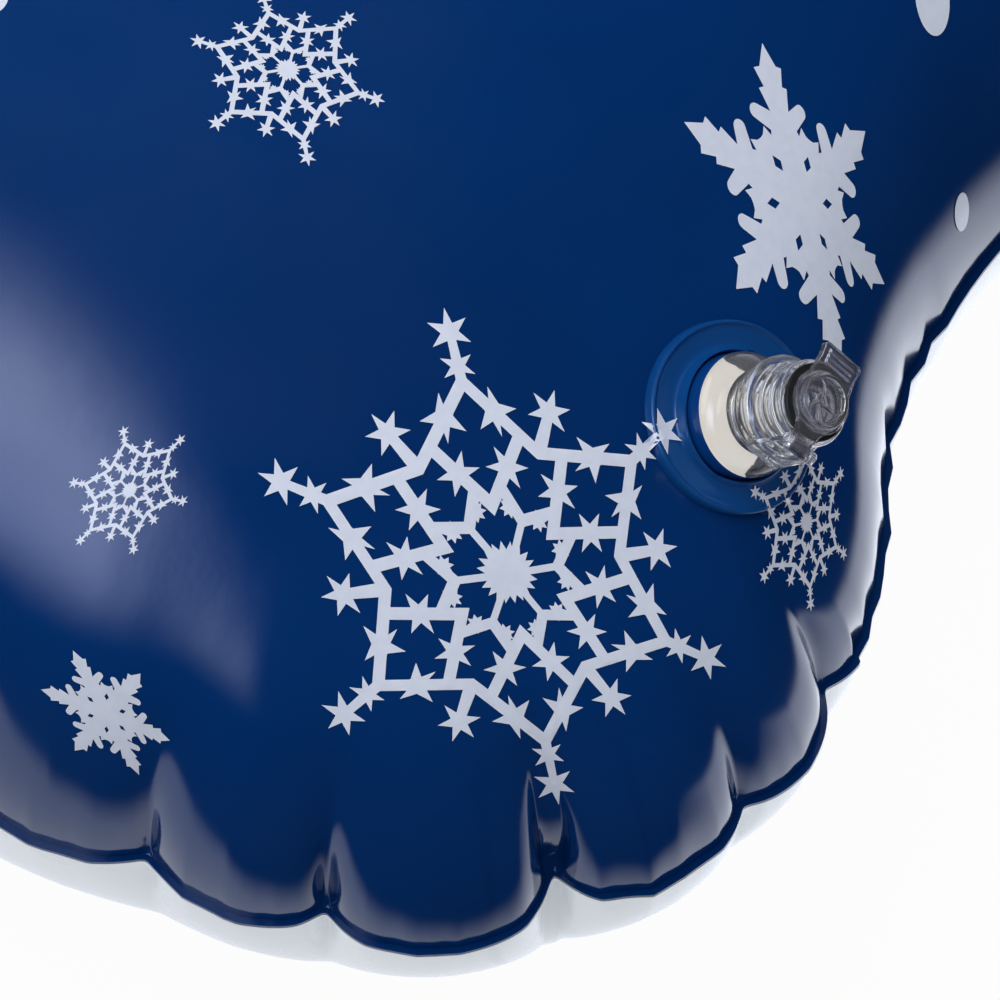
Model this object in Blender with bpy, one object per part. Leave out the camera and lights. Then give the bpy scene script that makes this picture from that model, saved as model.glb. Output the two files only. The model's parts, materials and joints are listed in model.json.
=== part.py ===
"""An inflatable snow sled at rest, full of air.

Metres, with +X to the rider's right, +Y towards the nose and +Z up. The origin is on the ground,
under the middle of the sled. Two films are welded round the edge and held apart by four webs under
the deck. A push-in oral valve stands at the rear right, and two moulded handles swing on the sides.
"""

import math

import bmesh
import bpy
import numpy as np
from mathutils import Matrix, Vector
from mathutils.bvhtree import BVHTree
from mathutils.geometry import delaunay_2d_cdt

# Outline of the weld, seen from above
SLED_LENGTH = 1.05
BODY_WIDTH = 0.62
LOBE_SET_BACK = 0.026
LOBE_RADIUS = 0.095
WAIST_RADIUS = 0.109
WAIST_AHEAD = 0.077
BODY_BEND_RADIUS = 0.2
NOSE_DEPTH = 0.22
NOSE_CORNER_RADIUS = 0.15

# Films and weld
FILM = 0.0006
WELD_GAP = 0.0003
FLANGE_WIDTH = 0.005
SEAM_HEIGHT = 0.09
TOP_CROWN = 0.115
BOTTOM_CROWN = 0.105
PILLOW_REACH = 0.08
NOSE_RISE = 0.06
NOSE_RISE_LENGTH = 0.375
GROUND_EASE = 0.012

# Deck, keel and the webs between them
BAFFLE_COUNT = 4
BAFFLE_PITCH_SHARE = 0.193548
BAFFLE_PITCH = BAFFLE_PITCH_SHARE * BODY_WIDTH
BAFFLE_LENGTH = 0.49
BAFFLE_STRIP = 0.012
DECK_DROP = 0.022
DECK_VALLEY = 0.026
DECK_FADE = 0.06
KEEL_VALLEY = 0.014
KEEL_HALF_WIDTH = 0.03

# Folds along the weld
FOLD_DEPTH = 0.012
FOLD_WIDTH = 0.007
FOLD_REACH = 0.022
REAR_FOLD_PITCH = 0.04
SIDE_FOLD_PITCH = 0.048
NOSE_FOLD_PITCH = 0.038
LOBE_FOLD_SHARES = (0.10, 0.375, 0.615, 0.79)
LOBE_FOLD_DEPTH_SHARES = (0.58, 1.0, 0.42, 0.5)
REAR_FOLD_SHARE = 0.48
SIDE_FOLD_SHARE = 0.17
NOSE_FOLD_SHARE = 0.6
SEAM_LIFT_SHARE = 0.2

# Oral valve, standing on the film at the rear right
VALVE_FROM_SIDE = 0.0625
VALVE_FROM_REAR = 0.115
VALVE_X = BODY_WIDTH / 2 - VALVE_FROM_SIDE
VALVE_Y = VALVE_FROM_REAR - SLED_LENGTH / 2
VALVE_FLANGE_RADIUS = 0.0194
VALVE_FLANGE_THICKNESS = 0.0014
VALVE_BEAD = 0.0008
VALVE_LIP_RADIUS = 0.0152
VALVE_LIP_DROP = 0.0029
VALVE_WALL = 0.0012
BELL_RADIUS = 0.0125
BELL_HEIGHT = 0.0094
NECK_RADIUS = 0.0089
NECK_GROOVE = 0.0011
NECK_RING_COUNT = 4
NECK_RING_PITCH = 0.0028
COLLAR_RADIUS = 0.0086
COLLAR_HEIGHT = 0.0034
BORE_RADIUS = 0.0062
SEAT_RADIUS = 0.0045
FLAP_RADIUS = 0.0056
FLAP_THICKNESS = 0.0008
GASKET_THICKNESS = 0.001
GASKET_RADIUS = 0.0077

# Cap and the strap that ties it to the neck
CAP_THICKNESS = 0.0014
CAP_RADIUS = 0.0066
CAP_RIM_RADIUS = 0.0057
CAP_RIM_WIDTH = 0.0011
CAP_RIM_HEIGHT = 0.0011
CAP_BOSS_RADIUS = 0.0014
CAP_RIB_WIDTH = 0.0007
CAP_TAB_LENGTH = 0.0112
CAP_TAB_WIDTH = 0.0098
PLUG_DEPTH = 0.0045
PLUG_TAPER = 0.0008
HINGE_REACH = 0.0112
KNUCKLE_RADIUS = 0.0014
KNUCKLE_WIDTH = 0.0044
AXLE_RADIUS = 0.0005
LUG_WIDTH = 0.0015
STRAP_THICKNESS = 0.0012
STRAP_RING_DROP = 0.0062
STRAP_RING_HEIGHT = 0.0022

# Handles on the side tubes
HANDLE_FROM_SIDE = 0.075
HANDLE_X = BODY_WIDTH / 2 - HANDLE_FROM_SIDE
HANDLE_Y = 0.03
HANDLE_SPAN = 0.16
HANDLE_BAR_RADIUS = 0.0038
HANDLE_AXIS_HEIGHT = 0.0122
HANDLE_ARM = 0.038
HANDLE_FOOT_BEND = 0.01
HANDLE_TOP_BEND = 0.014
HANDLE_FOOT_RUN = 0.008
HANDLE_HEAD_RADIUS = 0.0058
HANDLE_HEAD_LENGTH = 0.003
GRIP_RADIUS = 0.0095
GRIP_RIB = 0.0012
GRIP_RIB_COUNT = 7
PATCH_RADIUS = 0.027
PATCH_THICKNESS = 0.0018
PATCH_RING_SHARES = (0.05, 0.35, 0.62, 0.86, 1.0)
EAR_THICKNESS = 0.006
EAR_RADIUS = 0.0085

# Tow tab at the nose
TAB_LENGTH = 0.034
TAB_WIDTH = 0.06
TAB_THICKNESS = 0.0024
TAB_CORNER = 0.014
TAB_LAP_SHARE = 0.7
EYELET_BORE_RADIUS = 0.006
EYELET_WALL = 0.0011
EYELET_FLANGE = 0.0042
EYELET_FLANGE_THICKNESS = 0.0009

# Clearances
CLEARANCE = 0.0003
SLIDE_CLEARANCE = 0.0006
FILM_CLEARANCE = 0.0009
CUT_OVERRUN = 0.004

# Mesh counts and steps
OUTLINE_STEP = 0.02
GRID_STEP = 0.0075
GRID_SWEEPS = 500
OVER_RELAXATION = 1.7
NEAR_BAND = 0.03
NODES_AT_ONCE = 4000
DECK_STATION_COUNT = 11
ROUND_SEGMENTS = 28


def smoothstep(value):
    value = np.clip(value, 0.0, 1.0)
    return value * value * (3.0 - 2.0 * value)


class Outline:
    """The weld's outer edge: straight runs and arcs that meet tangentially, mirrored about X = 0."""

    def __init__(self):
        self.runs = []
        self.starts = [0.0]
        half_length = SLED_LENGTH / 2
        lobe = (BODY_WIDTH / 2 - LOBE_SET_BACK - LOBE_RADIUS, LOBE_RADIUS - half_length)
        reach = LOBE_RADIUS + WAIST_RADIUS
        lobe_end = math.asin(WAIST_AHEAD / reach)
        waist = (lobe[0] + reach * math.cos(lobe_end), lobe[1] + WAIST_AHEAD)
        widening = BODY_WIDTH / 2 - waist[0] + WAIST_RADIUS
        swing = WAIST_RADIUS + BODY_BEND_RADIUS
        flare = math.acos(1.0 - widening / swing)
        bend = (waist[0] - swing * math.cos(flare), waist[1] + swing * math.sin(flare))
        corner = (BODY_WIDTH / 2 - NOSE_CORNER_RADIUS, half_length - NOSE_DEPTH)
        run_out = NOSE_DEPTH - NOSE_CORNER_RADIUS
        front_radius = (corner[0] ** 2 + NOSE_DEPTH**2 - NOSE_CORNER_RADIUS**2) / (2 * run_out)
        front = (0.0, half_length - front_radius)
        turn = math.atan2(corner[1] - front[1], corner[0])
        right = math.pi / 2

        self.line((0.0, -half_length), (lobe[0], -half_length), (0.0, -1.0))
        self.arc(lobe, LOBE_RADIUS, -right, lobe_end)
        self.arc(waist, -WAIST_RADIUS, lobe_end, -flare)
        self.arc(bend, BODY_BEND_RADIUS, -flare, 0.0)
        self.line((BODY_WIDTH / 2, bend[1]), (BODY_WIDTH / 2, corner[1]), (1.0, 0.0))
        self.arc(corner, NOSE_CORNER_RADIUS, 0.0, turn)
        self.arc(front, front_radius, turn, right)
        self.half = self.starts[-1]
        self.length = 2 * self.half

    def line(self, start, end, normal):
        start, end, normal = (np.array(p) for p in (start, end, normal))
        self.runs.append(lambda share: (start + share * (end - start), normal + 0.0 * share))
        self.starts.append(self.starts[-1] + float(np.linalg.norm(end - start)))

    def arc(self, centre, radius, first, last):
        """An arc whose outward normal turns from one angle to another; a negative radius is concave."""

        def run(share):
            angle = first + share * (last - first)
            normal = np.concatenate([np.cos(angle), np.sin(angle)], axis=1)
            return np.array(centre) + radius * normal, normal

        self.runs.append(run)
        self.starts.append(self.starts[-1] + abs(radius * (last - first)))

    def at(self, along):
        """Points and outward normals at distances along the edge, from the middle of the rear edge."""
        along = np.asarray(along, float) % self.length
        mirrored = along > self.half
        along = np.where(mirrored, self.length - along, along)
        points = np.zeros((len(along), 2))
        normals = np.zeros((len(along), 2))
        for run, start, end in zip(self.runs, self.starts, self.starts[1:]):
            inside = (along >= start) & (along <= end)
            share = ((along[inside] - start) / (end - start))[:, None]
            points[inside], normals[inside] = run(share)
        sign = np.where(mirrored, -1.0, 1.0)
        points[:, 0] *= sign
        normals[:, 0] *= sign
        return points, normals

    def folds(self):
        """(distance along the edge, depth) of each pucker, right half first and then its mirror image."""
        rear, lobe, waist, bend, side, corner, front, end = self.starts
        found = []
        rear_count = int((lobe - rear) / REAR_FOLD_PITCH)
        for index in range(rear_count):
            along = lobe - (index + 0.5) * REAR_FOLD_PITCH
            found.append((along, FOLD_DEPTH * REAR_FOLD_SHARE))
        for share, depth_share in zip(LOBE_FOLD_SHARES, LOBE_FOLD_DEPTH_SHARES):
            found.append((lobe + share * (waist - lobe), FOLD_DEPTH * depth_share))
        for start, stop, pitch, depth_share in (
            (side, corner, SIDE_FOLD_PITCH, SIDE_FOLD_SHARE),
            (corner, end, NOSE_FOLD_PITCH, NOSE_FOLD_SHARE),
        ):
            count = max(1, round((stop - start) / pitch))
            for index in range(count):
                along = start + (index + 0.5) * (stop - start) / count
                if self.half - along > TAB_WIDTH / 2 + FOLD_WIDTH:
                    found.append((along, FOLD_DEPTH * depth_share))
        found.sort()
        return found + [(self.length - along, depth) for along, depth in reversed(found)]


class Pillow:
    """How far the air lifts the film, from 0 at the weld towards 1 well inside it.

    The lift is relaxed on a grid, as a film under pressure settles, with the weld held at zero.
    """

    def __init__(self, outline):
        steps = int(outline.length / FLANGE_WIDTH)
        self.places = np.arange(steps) * outline.length / steps
        points, normals = outline.at(self.places)
        self.edge = points - FLANGE_WIDTH * normals
        self.edge_normals = normals
        half = np.array([BODY_WIDTH / 2, SLED_LENGTH / 2]) + 2 * GRID_STEP
        self.low = -half
        counts = np.ceil(2 * half / GRID_STEP).astype(int) + 1
        x = self.low[0] + GRID_STEP * np.arange(counts[0])
        y = self.low[1] + GRID_STEP * np.arange(counts[1])
        nodes = np.stack(np.meshgrid(x, y, indexing="ij"), axis=-1)
        depth = self.nearest(nodes.reshape(-1, 2))[0].reshape(counts)
        self.lift = self.relaxed(depth)
        inside = depth > GRID_STEP / 4
        near = 1.0 - np.exp(-np.maximum(depth, GRID_STEP / 4) / PILLOW_REACH)
        self.ratio = self.spread(np.where(inside, self.lift / near, 0.0), inside)

    def nearest(self, points):
        """How far inside the weld line each point is, and its place along the edge."""
        depths, places = [], []
        for first in range(0, len(points), NODES_AT_ONCE):
            block = points[first : first + NODES_AT_ONCE]
            offsets = block[:, None, :] - self.edge[None, :, :]
            nearest = (offsets**2).sum(axis=2).argmin(axis=1)
            rows = np.arange(len(block))
            depths.append(-(offsets[rows, nearest] * self.edge_normals[nearest]).sum(axis=1))
            places.append(self.places[nearest])
        return np.concatenate(depths), np.concatenate(places)

    def relaxed(self, depth):
        inside = depth > 0.0
        lift = np.zeros(depth.shape)
        arms = []
        for shift in ((1, 0), (-1, 0), (0, 1), (0, -1)):
            other = np.roll(depth, (-shift[0], -shift[1]), axis=(0, 1))
            crossing = inside & (other < 0.0)
            cut = depth / np.where(crossing, depth - other, 1.0)
            arms.append(np.where(crossing, np.clip(cut, 0.05, 1.0), 1.0))
        east, west, north, south = arms
        weights = [
            2 / (east * (east + west)),
            2 / (west * (east + west)),
            2 / (north * (north + south)),
            2 / (south * (north + south)),
        ]
        pull = (GRID_STEP / PILLOW_REACH) ** 2
        total = sum(weights) + pull
        i, j = np.indices(depth.shape)
        colours = [inside & ((i + j) % 2 == parity) for parity in (0, 1)]
        for _ in range(GRID_SWEEPS):
            for colour in colours:
                pushed = pull + sum(
                    weight * np.roll(lift, (-shift[0], -shift[1]), axis=(0, 1))
                    for weight, shift in zip(weights, ((1, 0), (-1, 0), (0, 1), (0, -1)))
                )
                lift = np.where(colour, lift + OVER_RELAXATION * (pushed / total - lift), lift)
        return lift

    @staticmethod
    def spread(values, known):
        """The values carried outwards a few cells, so that reading near the weld stays smooth."""
        values = values.copy()
        known = known.copy()
        for _ in range(4):
            total = np.zeros(values.shape)
            count = np.zeros(values.shape)
            for shift in ((1, 0), (-1, 0), (0, 1), (0, -1), (1, 1), (1, -1), (-1, 1), (-1, -1)):
                total += np.roll(values * known, shift, axis=(0, 1))
                count += np.roll(known, shift, axis=(0, 1))
            fresh = ~known & (count > 0)
            values[fresh] = total[fresh] / count[fresh]
            known |= fresh
        return values

    def read(self, table, points):
        """A smooth cubic reading of a grid table."""
        place = (points - self.low) / GRID_STEP
        cell = np.clip(np.floor(place).astype(int), 1, np.array(table.shape) - 3)
        u = place - cell
        spans = []
        for axis in (0, 1):
            t = u[:, axis]
            spans.append(
                (
                    (-t + 2 * t**2 - t**3) / 2,
                    (2 - 5 * t**2 + 3 * t**3) / 2,
                    (t + 4 * t**2 - 3 * t**3) / 2,
                    (-(t**2) + t**3) / 2,
                )
            )
        value = np.zeros(len(points))
        for i in range(4):
            for j in range(4):
                value += spans[0][i] * spans[1][j] * table[cell[:, 0] + i - 1, cell[:, 1] + j - 1]
        return value

    def at(self, points, depth):
        near = self.read(self.ratio, points) * (1.0 - np.exp(-np.maximum(depth, 0.0) / PILLOW_REACH))
        far = self.read(self.lift, points)
        blend = smoothstep(depth / NEAR_BAND - 0.5)
        return np.maximum(near + blend * (far - near), 0.0)


OUTLINE = Outline()
PILLOW = Pillow(OUTLINE)
FOLDS = OUTLINE.folds()


def seam_height(y):
    """Height of the middle of the weld, which climbs towards the nose."""
    climb = (y - SLED_LENGTH / 2) / NOSE_RISE_LENGTH + 1.0
    return SEAM_HEIGHT + NOSE_RISE * smoothstep(climb)


def baffle_lines():
    return [(index - (BAFFLE_COUNT - 1) / 2) * BAFFLE_PITCH for index in range(BAFFLE_COUNT)]


def deck_window(y):
    return smoothstep((BAFFLE_LENGTH / 2 + DECK_FADE / 4 - np.abs(y)) / DECK_FADE)


def deck_fall(x, y):
    """How far the webs hold the top film down."""
    reach = (BAFFLE_COUNT - 1) / 2 * BAFFLE_PITCH
    fall = DECK_DROP * smoothstep((reach + DECK_FADE - np.abs(x)) / DECK_FADE)
    for line in baffle_lines():
        near = np.clip(1.0 - np.abs(x - line) / (BAFFLE_PITCH / 2), 0.0, 1.0)
        fall = fall + DECK_VALLEY * near**2
    return fall * deck_window(y)


def keel_lift(x, y):
    """How far the webs hold the bottom film up."""
    lift = 0.0
    for line in baffle_lines():
        near = np.clip(1.0 - ((x - line) / KEEL_HALF_WIDTH) ** 2, 0.0, 1.0)
        lift = lift + KEEL_VALLEY * near**2
    return lift * deck_window(y)


def flattened(z):
    """Heights pressed flat where the ground holds the film."""
    eased = (z + GROUND_EASE) ** 2 / (4 * GROUND_EASE)
    return np.where(z > GROUND_EASE, z, np.where(z > -GROUND_EASE, eased, 0.0))


def top_height(points, depth):
    lift = TOP_CROWN * np.sqrt(PILLOW.at(points, depth))
    x, y = points.T
    return seam_height(y) + WELD_GAP / 2 + FILM + lift - deck_fall(x, y) * smoothstep(lift / TOP_CROWN)


def bottom_height(points, depth):
    lift = BOTTOM_CROWN * np.sqrt(PILLOW.at(points, depth))
    x, y = points.T
    return flattened(seam_height(y) - WELD_GAP / 2 - FILM - lift) + keel_lift(x, y)


def fold_inset(along):
    """How far the puckers draw the edge in at distances along it."""
    inset = np.zeros(len(along))
    for place, depth in FOLDS:
        away = np.abs((along - place + OUTLINE.half) % OUTLINE.length - OUTLINE.half) / FOLD_WIDTH
        inset = np.maximum(inset, depth * np.exp(-away))
    return inset


def edge_stations():
    """Distances along the edge: at each pucker, at its shoulders, and evenly between."""
    marks = []
    places = [place for place, _ in FOLDS]
    for place, following in zip(places, places[1:] + [places[0] + OUTLINE.length]):
        gap = following - place
        shoulder = min(1.3 * FOLD_WIDTH, gap / 3)
        between = max(1, round((gap - 2 * shoulder) / (1.5 * OUTLINE_STEP)))
        marks.append(place)
        marks.extend(place + shoulder + (gap - 2 * shoulder) * np.arange(between + 1) / between)
    return np.array(marks)


def plan_points():
    """Plan points of a film with their place along the edge and their distance in from it."""
    stations = edge_stations()
    points, normals = OUTLINE.at(stations)
    half_step = FLANGE_WIDTH / 2
    close = [0.0, FLANGE_WIDTH, FLANGE_WIDTH + half_step, FLANGE_WIDTH + 4 * half_step]
    rows = [np.column_stack([points - reach * normals, stations, np.full(len(stations), reach)]) for reach in close]
    kept = np.concatenate(rows)
    count = len(stations)
    for reach, spacing in ((6, 0.7), (10, 1.25), (16, 1.8), (25, 2.4), (36, 2.6), (47, 2.6)):
        depth = reach * FLANGE_WIDTH
        fresh = []
        for (x, y), normal, along in zip(points, normals, stations):
            spot = np.array([x, y]) - depth * normal
            reached = PILLOW.nearest(spot[None])[0][0] + FLANGE_WIDTH
            if reached < 0.97 * depth or abs(spot[0]) < OUTLINE_STEP:
                continue
            known = np.concatenate([kept[:, :2]] + [row[None, :2] for row in fresh])
            if ((known - spot) ** 2).sum(axis=1).min() > (spacing * OUTLINE_STEP) ** 2:
                fresh.append(np.array([spot[0], spot[1], along, depth]))
        if fresh:
            kept = np.concatenate([kept, fresh])
    return kept, count


def deck_stations():
    return np.linspace(-BAFFLE_LENGTH / 2, BAFFLE_LENGTH / 2, DECK_STATION_COUNT)


def deck_points():
    """Plan points on the weld lines of the webs and on the crowns between them."""
    lines = baffle_lines()
    crowns = [line + BAFFLE_PITCH / 2 for line in lines[:-1]]
    columns = sorted(lines + crowns)
    return [(x, y) for x in columns for y in deck_stations()], len(columns)


def between_points(side):
    """Plan points halfway between those columns, without the ones under a welded piece."""
    spots = []
    for line in baffle_lines():
        for x in (line - BAFFLE_PITCH / 4, line + BAFFLE_PITCH / 4):
            for y in deck_stations():
                near = [math.hypot(x - at_x, y - at_y) < 1.3 * radius for at_x, at_y, radius in anchors()]
                if side < 0 or not any(near):
                    spots.append((x, y))
    return spots


def anchors():
    """(x, y, radius) of each place on the top film that something is welded to."""
    found = [(VALVE_X, VALVE_Y, VALVE_FLANGE_RADIUS)]
    for side in (-1, 1):
        for end in (-1, 1):
            found.append((side * HANDLE_X, HANDLE_Y + end * HANDLE_SPAN / 2, PATCH_RADIUS))
    return found


def anchor_points():
    """Closer plan points under the welded pieces, so that these lie close on the film."""
    spots = []
    for x, y, radius in anchors():
        spots.append((x, y))
        for share, count in ((0.4, 8), (0.75, 12), (1.1, 16)):
            for step in range(count):
                angle = 2 * math.pi * (step + share) / count
                spots.append((x + share * radius * math.cos(angle), y + share * radius * math.sin(angle)))
    return spots


def film_mesh(height, side):
    """Outer face points and triangles of one film; side is 1 for the top film and -1 for the bottom."""
    rings, count = plan_points()
    deck, columns = deck_points()
    reach = (BAFFLE_COUNT - 1) / 2 * BAFFLE_PITCH + BAFFLE_PITCH / 4 + OUTLINE_STEP / 2
    clear = (np.abs(rings[:, 0]) > reach) | (np.abs(rings[:, 1]) > BAFFLE_LENGTH / 2 + OUTLINE_STEP)
    if side > 0:
        for x, y, radius in anchors():
            clear &= np.hypot(rings[:, 0] - x, rings[:, 1] - y) > radius + OUTLINE_STEP / 2
    clear[: 2 * count] = True
    rings = rings[clear]
    spots = np.array(deck + between_points(side) + (anchor_points() if side > 0 else []))
    inner_depth, places = PILLOW.nearest(spots)
    plan = np.concatenate([rings, np.column_stack([spots, places, inner_depth + FLANGE_WIDTH])])
    edges = [(i, (i + 1) % count) for i in range(count)]
    edges += [(count + i, count + (i + 1) % count) for i in range(count)]
    for column in range(columns):
        first = len(rings) + column * DECK_STATION_COUNT
        edges += [(first + i, first + i + 1) for i in range(DECK_STATION_COUNT - 1)]
    found = delaunay_2d_cdt([Vector(p) for p in plan[:, :2]], edges, [], 1, FILM / 100)
    plan = plan[[origins[0] for origins in found[3]]]
    faces = [tuple(face) for face in found[2]]

    depth = plan[:, 3] - FLANGE_WIDTH
    z = height(plan[:, :2], depth)
    inset = fold_inset(plan[:, 2]) * np.exp(-np.maximum(depth, 0.0) / FOLD_REACH)
    _, normals = OUTLINE.at(plan[:, 2])
    spots = plan[:, :2] - inset[:, None] * normals
    lift = SEAM_LIFT_SHARE * inset
    on_ground = smoothstep(np.minimum(z, SEAM_HEIGHT) / SEAM_HEIGHT)
    z = z + lift * (on_ground if side < 0 else 1.0)
    outer = np.column_stack([spots, z])
    if side < 0:
        faces = [face[::-1] for face in faces]
    return outer, faces


def vertex_normals(points, faces):
    normals = np.zeros(points.shape)
    corners = points[np.array(faces)]
    turned = np.cross(corners[:, 1] - corners[:, 0], corners[:, 2] - corners[:, 0])
    for corner in range(3):
        np.add.at(normals, np.array(faces)[:, corner], turned)
    return normals / np.linalg.norm(normals, axis=1, keepdims=True)


def shell(points, faces, side):
    """A closed film: the outer face, the inner face one film thickness in, and the cut edge."""
    normals = vertex_normals(points, faces)
    on_edge = edge_loop(faces)
    normals[on_edge] = (0.0, 0.0, side)
    inner = points - FILM * normals
    inner[on_edge] = points[on_edge] - FILM * normals[on_edge]
    count = len(points)
    closed = list(faces) + [tuple(count + i for i in face[::-1]) for face in faces]
    for first, second in boundary_edges(faces):
        closed.append((second, first, count + first, count + second))
    return np.concatenate([points, inner]), closed


def boundary_edges(faces):
    """Directed edges that only one face has."""
    seen = set()
    for face in faces:
        for first, second in zip(face, face[1:] + face[:1]):
            seen.add((first, second))
    return [(first, second) for first, second in seen if (second, first) not in seen]


def edge_loop(faces):
    return sorted({first for first, _ in boundary_edges(faces)})


def material(name, colour, roughness, metallic=0.0, transmission=0.0):
    made = bpy.data.materials.new(name)
    made.use_nodes = True
    shader = made.node_tree.nodes["Principled BSDF"]
    shader.inputs["Base Color"].default_value = (*colour, 1.0)
    shader.inputs["Roughness"].default_value = roughness
    shader.inputs["Metallic"].default_value = metallic
    shader.inputs["Transmission Weight"].default_value = transmission
    return made


def add(name, points, faces, finish, frame=None, smooth_angle=35.0):
    """A mesh object from points in its own frame, with its faces turned outwards."""
    mesh = bpy.data.meshes.new(name)
    mesh.from_pydata([tuple(p) for p in points], [], [tuple(f) for f in faces])
    work = bmesh.new()
    work.from_mesh(mesh)
    bmesh.ops.recalc_face_normals(work, faces=work.faces)
    work.to_mesh(mesh)
    work.free()
    mesh.shade_smooth()
    mesh.set_sharp_from_angle(angle=math.radians(smooth_angle))
    thing = bpy.data.objects.new(name, mesh)
    bpy.context.scene.collection.objects.link(thing)
    if finish:
        mesh.materials.append(finish)
    if frame is not None:
        thing.parent = frame
    return thing


def frame_at(name, matrix):
    """An empty that carries the pieces of one mechanism."""
    empty = bpy.data.objects.new(name, None)
    bpy.context.scene.collection.objects.link(empty)
    empty.matrix_world = matrix
    empty.empty_display_size = HANDLE_ARM
    return empty


def helper(thing):
    thing.hide_render = True
    thing.display_type = "WIRE"
    return thing


def combine(thing, other, operation):
    boolean = thing.modifiers.new(other.name, "BOOLEAN")
    boolean.operation = operation
    boolean.object = helper(other)
    boolean.solver = "EXACT"


def turned(profile, segments=ROUND_SEGMENTS):
    """A closed profile of (radius, height) points swept round the local Z axis."""
    points = []
    for step in range(segments):
        angle = 2 * math.pi * step / segments
        points += [(r * math.cos(angle), r * math.sin(angle), z) for r, z in profile]
    size = len(profile)
    faces = []
    for step in range(segments):
        here, there = step * size, (step + 1) % segments * size
        for i in range(size):
            j = (i + 1) % size
            faces.append((here + i, there + i, there + j, here + j))
    return points, faces


def disc_faces(points, rings, segments):
    """Faces of a solid stacked from rings of points, closed by a fan at each end."""
    faces = [tuple(range(segments))[::-1]]
    for ring in range(rings - 1):
        here, there = ring * segments, (ring + 1) * segments
        for i in range(segments):
            j = (i + 1) % segments
            faces.append((here + i, here + j, there + j, there + i))
    faces.append(tuple((rings - 1) * segments + i for i in range(segments)))
    return points, faces


def rod(radius, start, end, axis="Z", segments=12):
    """A round rod along one axis, from start to end."""
    points = []
    for place in (start, end):
        for step in range(segments):
            angle = 2 * math.pi * step / segments
            across, up = radius * math.cos(angle), radius * math.sin(angle)
            points.append({"X": (place, across, up), "Y": (up, place, across), "Z": (across, up, place)}[axis])
    return disc_faces(points, 2, segments)


def prism(outline, low, high):
    """An outline of (x, y) points, extruded from low to high."""
    points = [(x, y, z) for z in (low, high) for x, y in outline]
    return disc_faces(points, 2, len(outline))


def block(low, high):
    (x0, y0, z0), (x1, y1, z1) = low, high
    return prism([(x0, y0), (x1, y0), (x1, y1), (x0, y1)], z0, z1)


def arc_points(centre, radius, first, last, count):
    angles = np.linspace(math.radians(first), math.radians(last), count)
    return [(centre[0] + radius * math.cos(a), centre[1] + radius * math.sin(a)) for a in angles]


def clear_scene():
    for thing in list(bpy.data.objects):
        bpy.data.objects.remove(thing, do_unlink=True)


def surface_tree(points, faces):
    return BVHTree.FromPolygons([Vector(p) for p in points], faces)


def standing_frame(tree, x, y, reach):
    """A frame on the film at (x, y): its Z is the film's own normal, its Y points forwards."""
    spot = drop(tree, x, y)
    side = drop(tree, x + reach, y) - drop(tree, x - reach, y)
    ahead = drop(tree, x, y + reach) - drop(tree, x, y - reach)
    up = side.cross(ahead).normalized()
    across = Vector((0.0, 1.0, 0.0)).cross(up).normalized()
    ahead = up.cross(across)
    return Matrix.Translation(spot) @ Matrix((across, ahead, up)).transposed().to_4x4()


def drop(tree, x, y):
    """The point of the film straight above or below (x, y)."""
    hit = tree.ray_cast(Vector((x, y, 2 * (SEAM_HEIGHT + TOP_CROWN + NOSE_RISE))), Vector((0.0, 0.0, -1.0)))
    return hit[0]


def laid_ring(tree, frame, radii, lifts, segments, skirt):
    """A ring or disc that lies on the film. Its top has the given radii and heights over the film."""
    down = -(frame.to_3x3() @ Vector((0.0, 0.0, 1.0)))
    high = 4 * HANDLE_ARM
    points = []
    for radius, lift in list(zip(radii, lifts)) + [(radius, skirt) for radius in reversed(radii)]:
        for step in range(segments):
            angle = 2 * math.pi * step / segments
            local = Vector((radius * math.cos(angle), radius * math.sin(angle), high))
            hit = tree.ray_cast(frame @ local, down)
            drop_to = high - hit[3]
            points.append((local.x, local.y, drop_to + lift))
    return points, 2 * len(radii)


def looped(points, rings, segments):
    """Faces between rings of points that close on themselves, as round a tyre."""
    faces = []
    for ring in range(rings):
        here, there = ring * segments, (ring + 1) % rings * segments
        for i in range(segments):
            j = (i + 1) % segments
            faces.append((here + i, here + j, there + j, there + i))
    return points, faces


def build_films(finishes):
    trees = {}
    for name, height, side in (("top_panel", top_height, 1), ("bottom_panel", bottom_height, -1)):
        outer, faces = film_mesh(height, side)
        points, closed = shell(outer, faces, side)
        add(name, points, closed, finishes[name], smooth_angle=60.0)
        trees[name] = surface_tree(outer, faces)
        trees[name + "_inner"] = surface_tree(points[len(outer):], faces)
    return trees


def build_baffles(trees, finish):
    """The webs: thin upright films with a weld strip along the top and the bottom."""
    strip, web = BAFFLE_STRIP / 2, FILM / 2
    up = Vector((0.0, 0.0, 1.0))
    for index, x in enumerate(baffle_lines()):
        points = []
        for y in deck_stations():
            starts = [Vector((x + across, y, SEAM_HEIGHT)) for across in (-strip, 0.0, strip)]
            high = min(trees["top_panel_inner"].ray_cast(start, up)[0].z for start in starts) - FILM_CLEARANCE
            low = max(trees["bottom_panel_inner"].ray_cast(start, -up)[0].z for start in starts) + FILM_CLEARANCE
            section = [
                (strip, high), (-strip, high), (-strip, high - FILM), (-web, high - FILM),
                (-web, low + FILM), (-strip, low + FILM), (-strip, low), (strip, low),
                (strip, low + FILM), (web, low + FILM), (web, high - FILM), (strip, high - FILM),
            ]
            points += [(x + across, y, z) for across, z in section]
        points, faces = disc_faces(points, DECK_STATION_COUNT, 12)
        add(f"baffle_{index + 1}", points, faces, finish)


def neck_base():
    return BELL_HEIGHT + NECK_GROOVE


def collar_top():
    return neck_base() + NECK_RING_COUNT * NECK_RING_PITCH + COLLAR_HEIGHT


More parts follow.
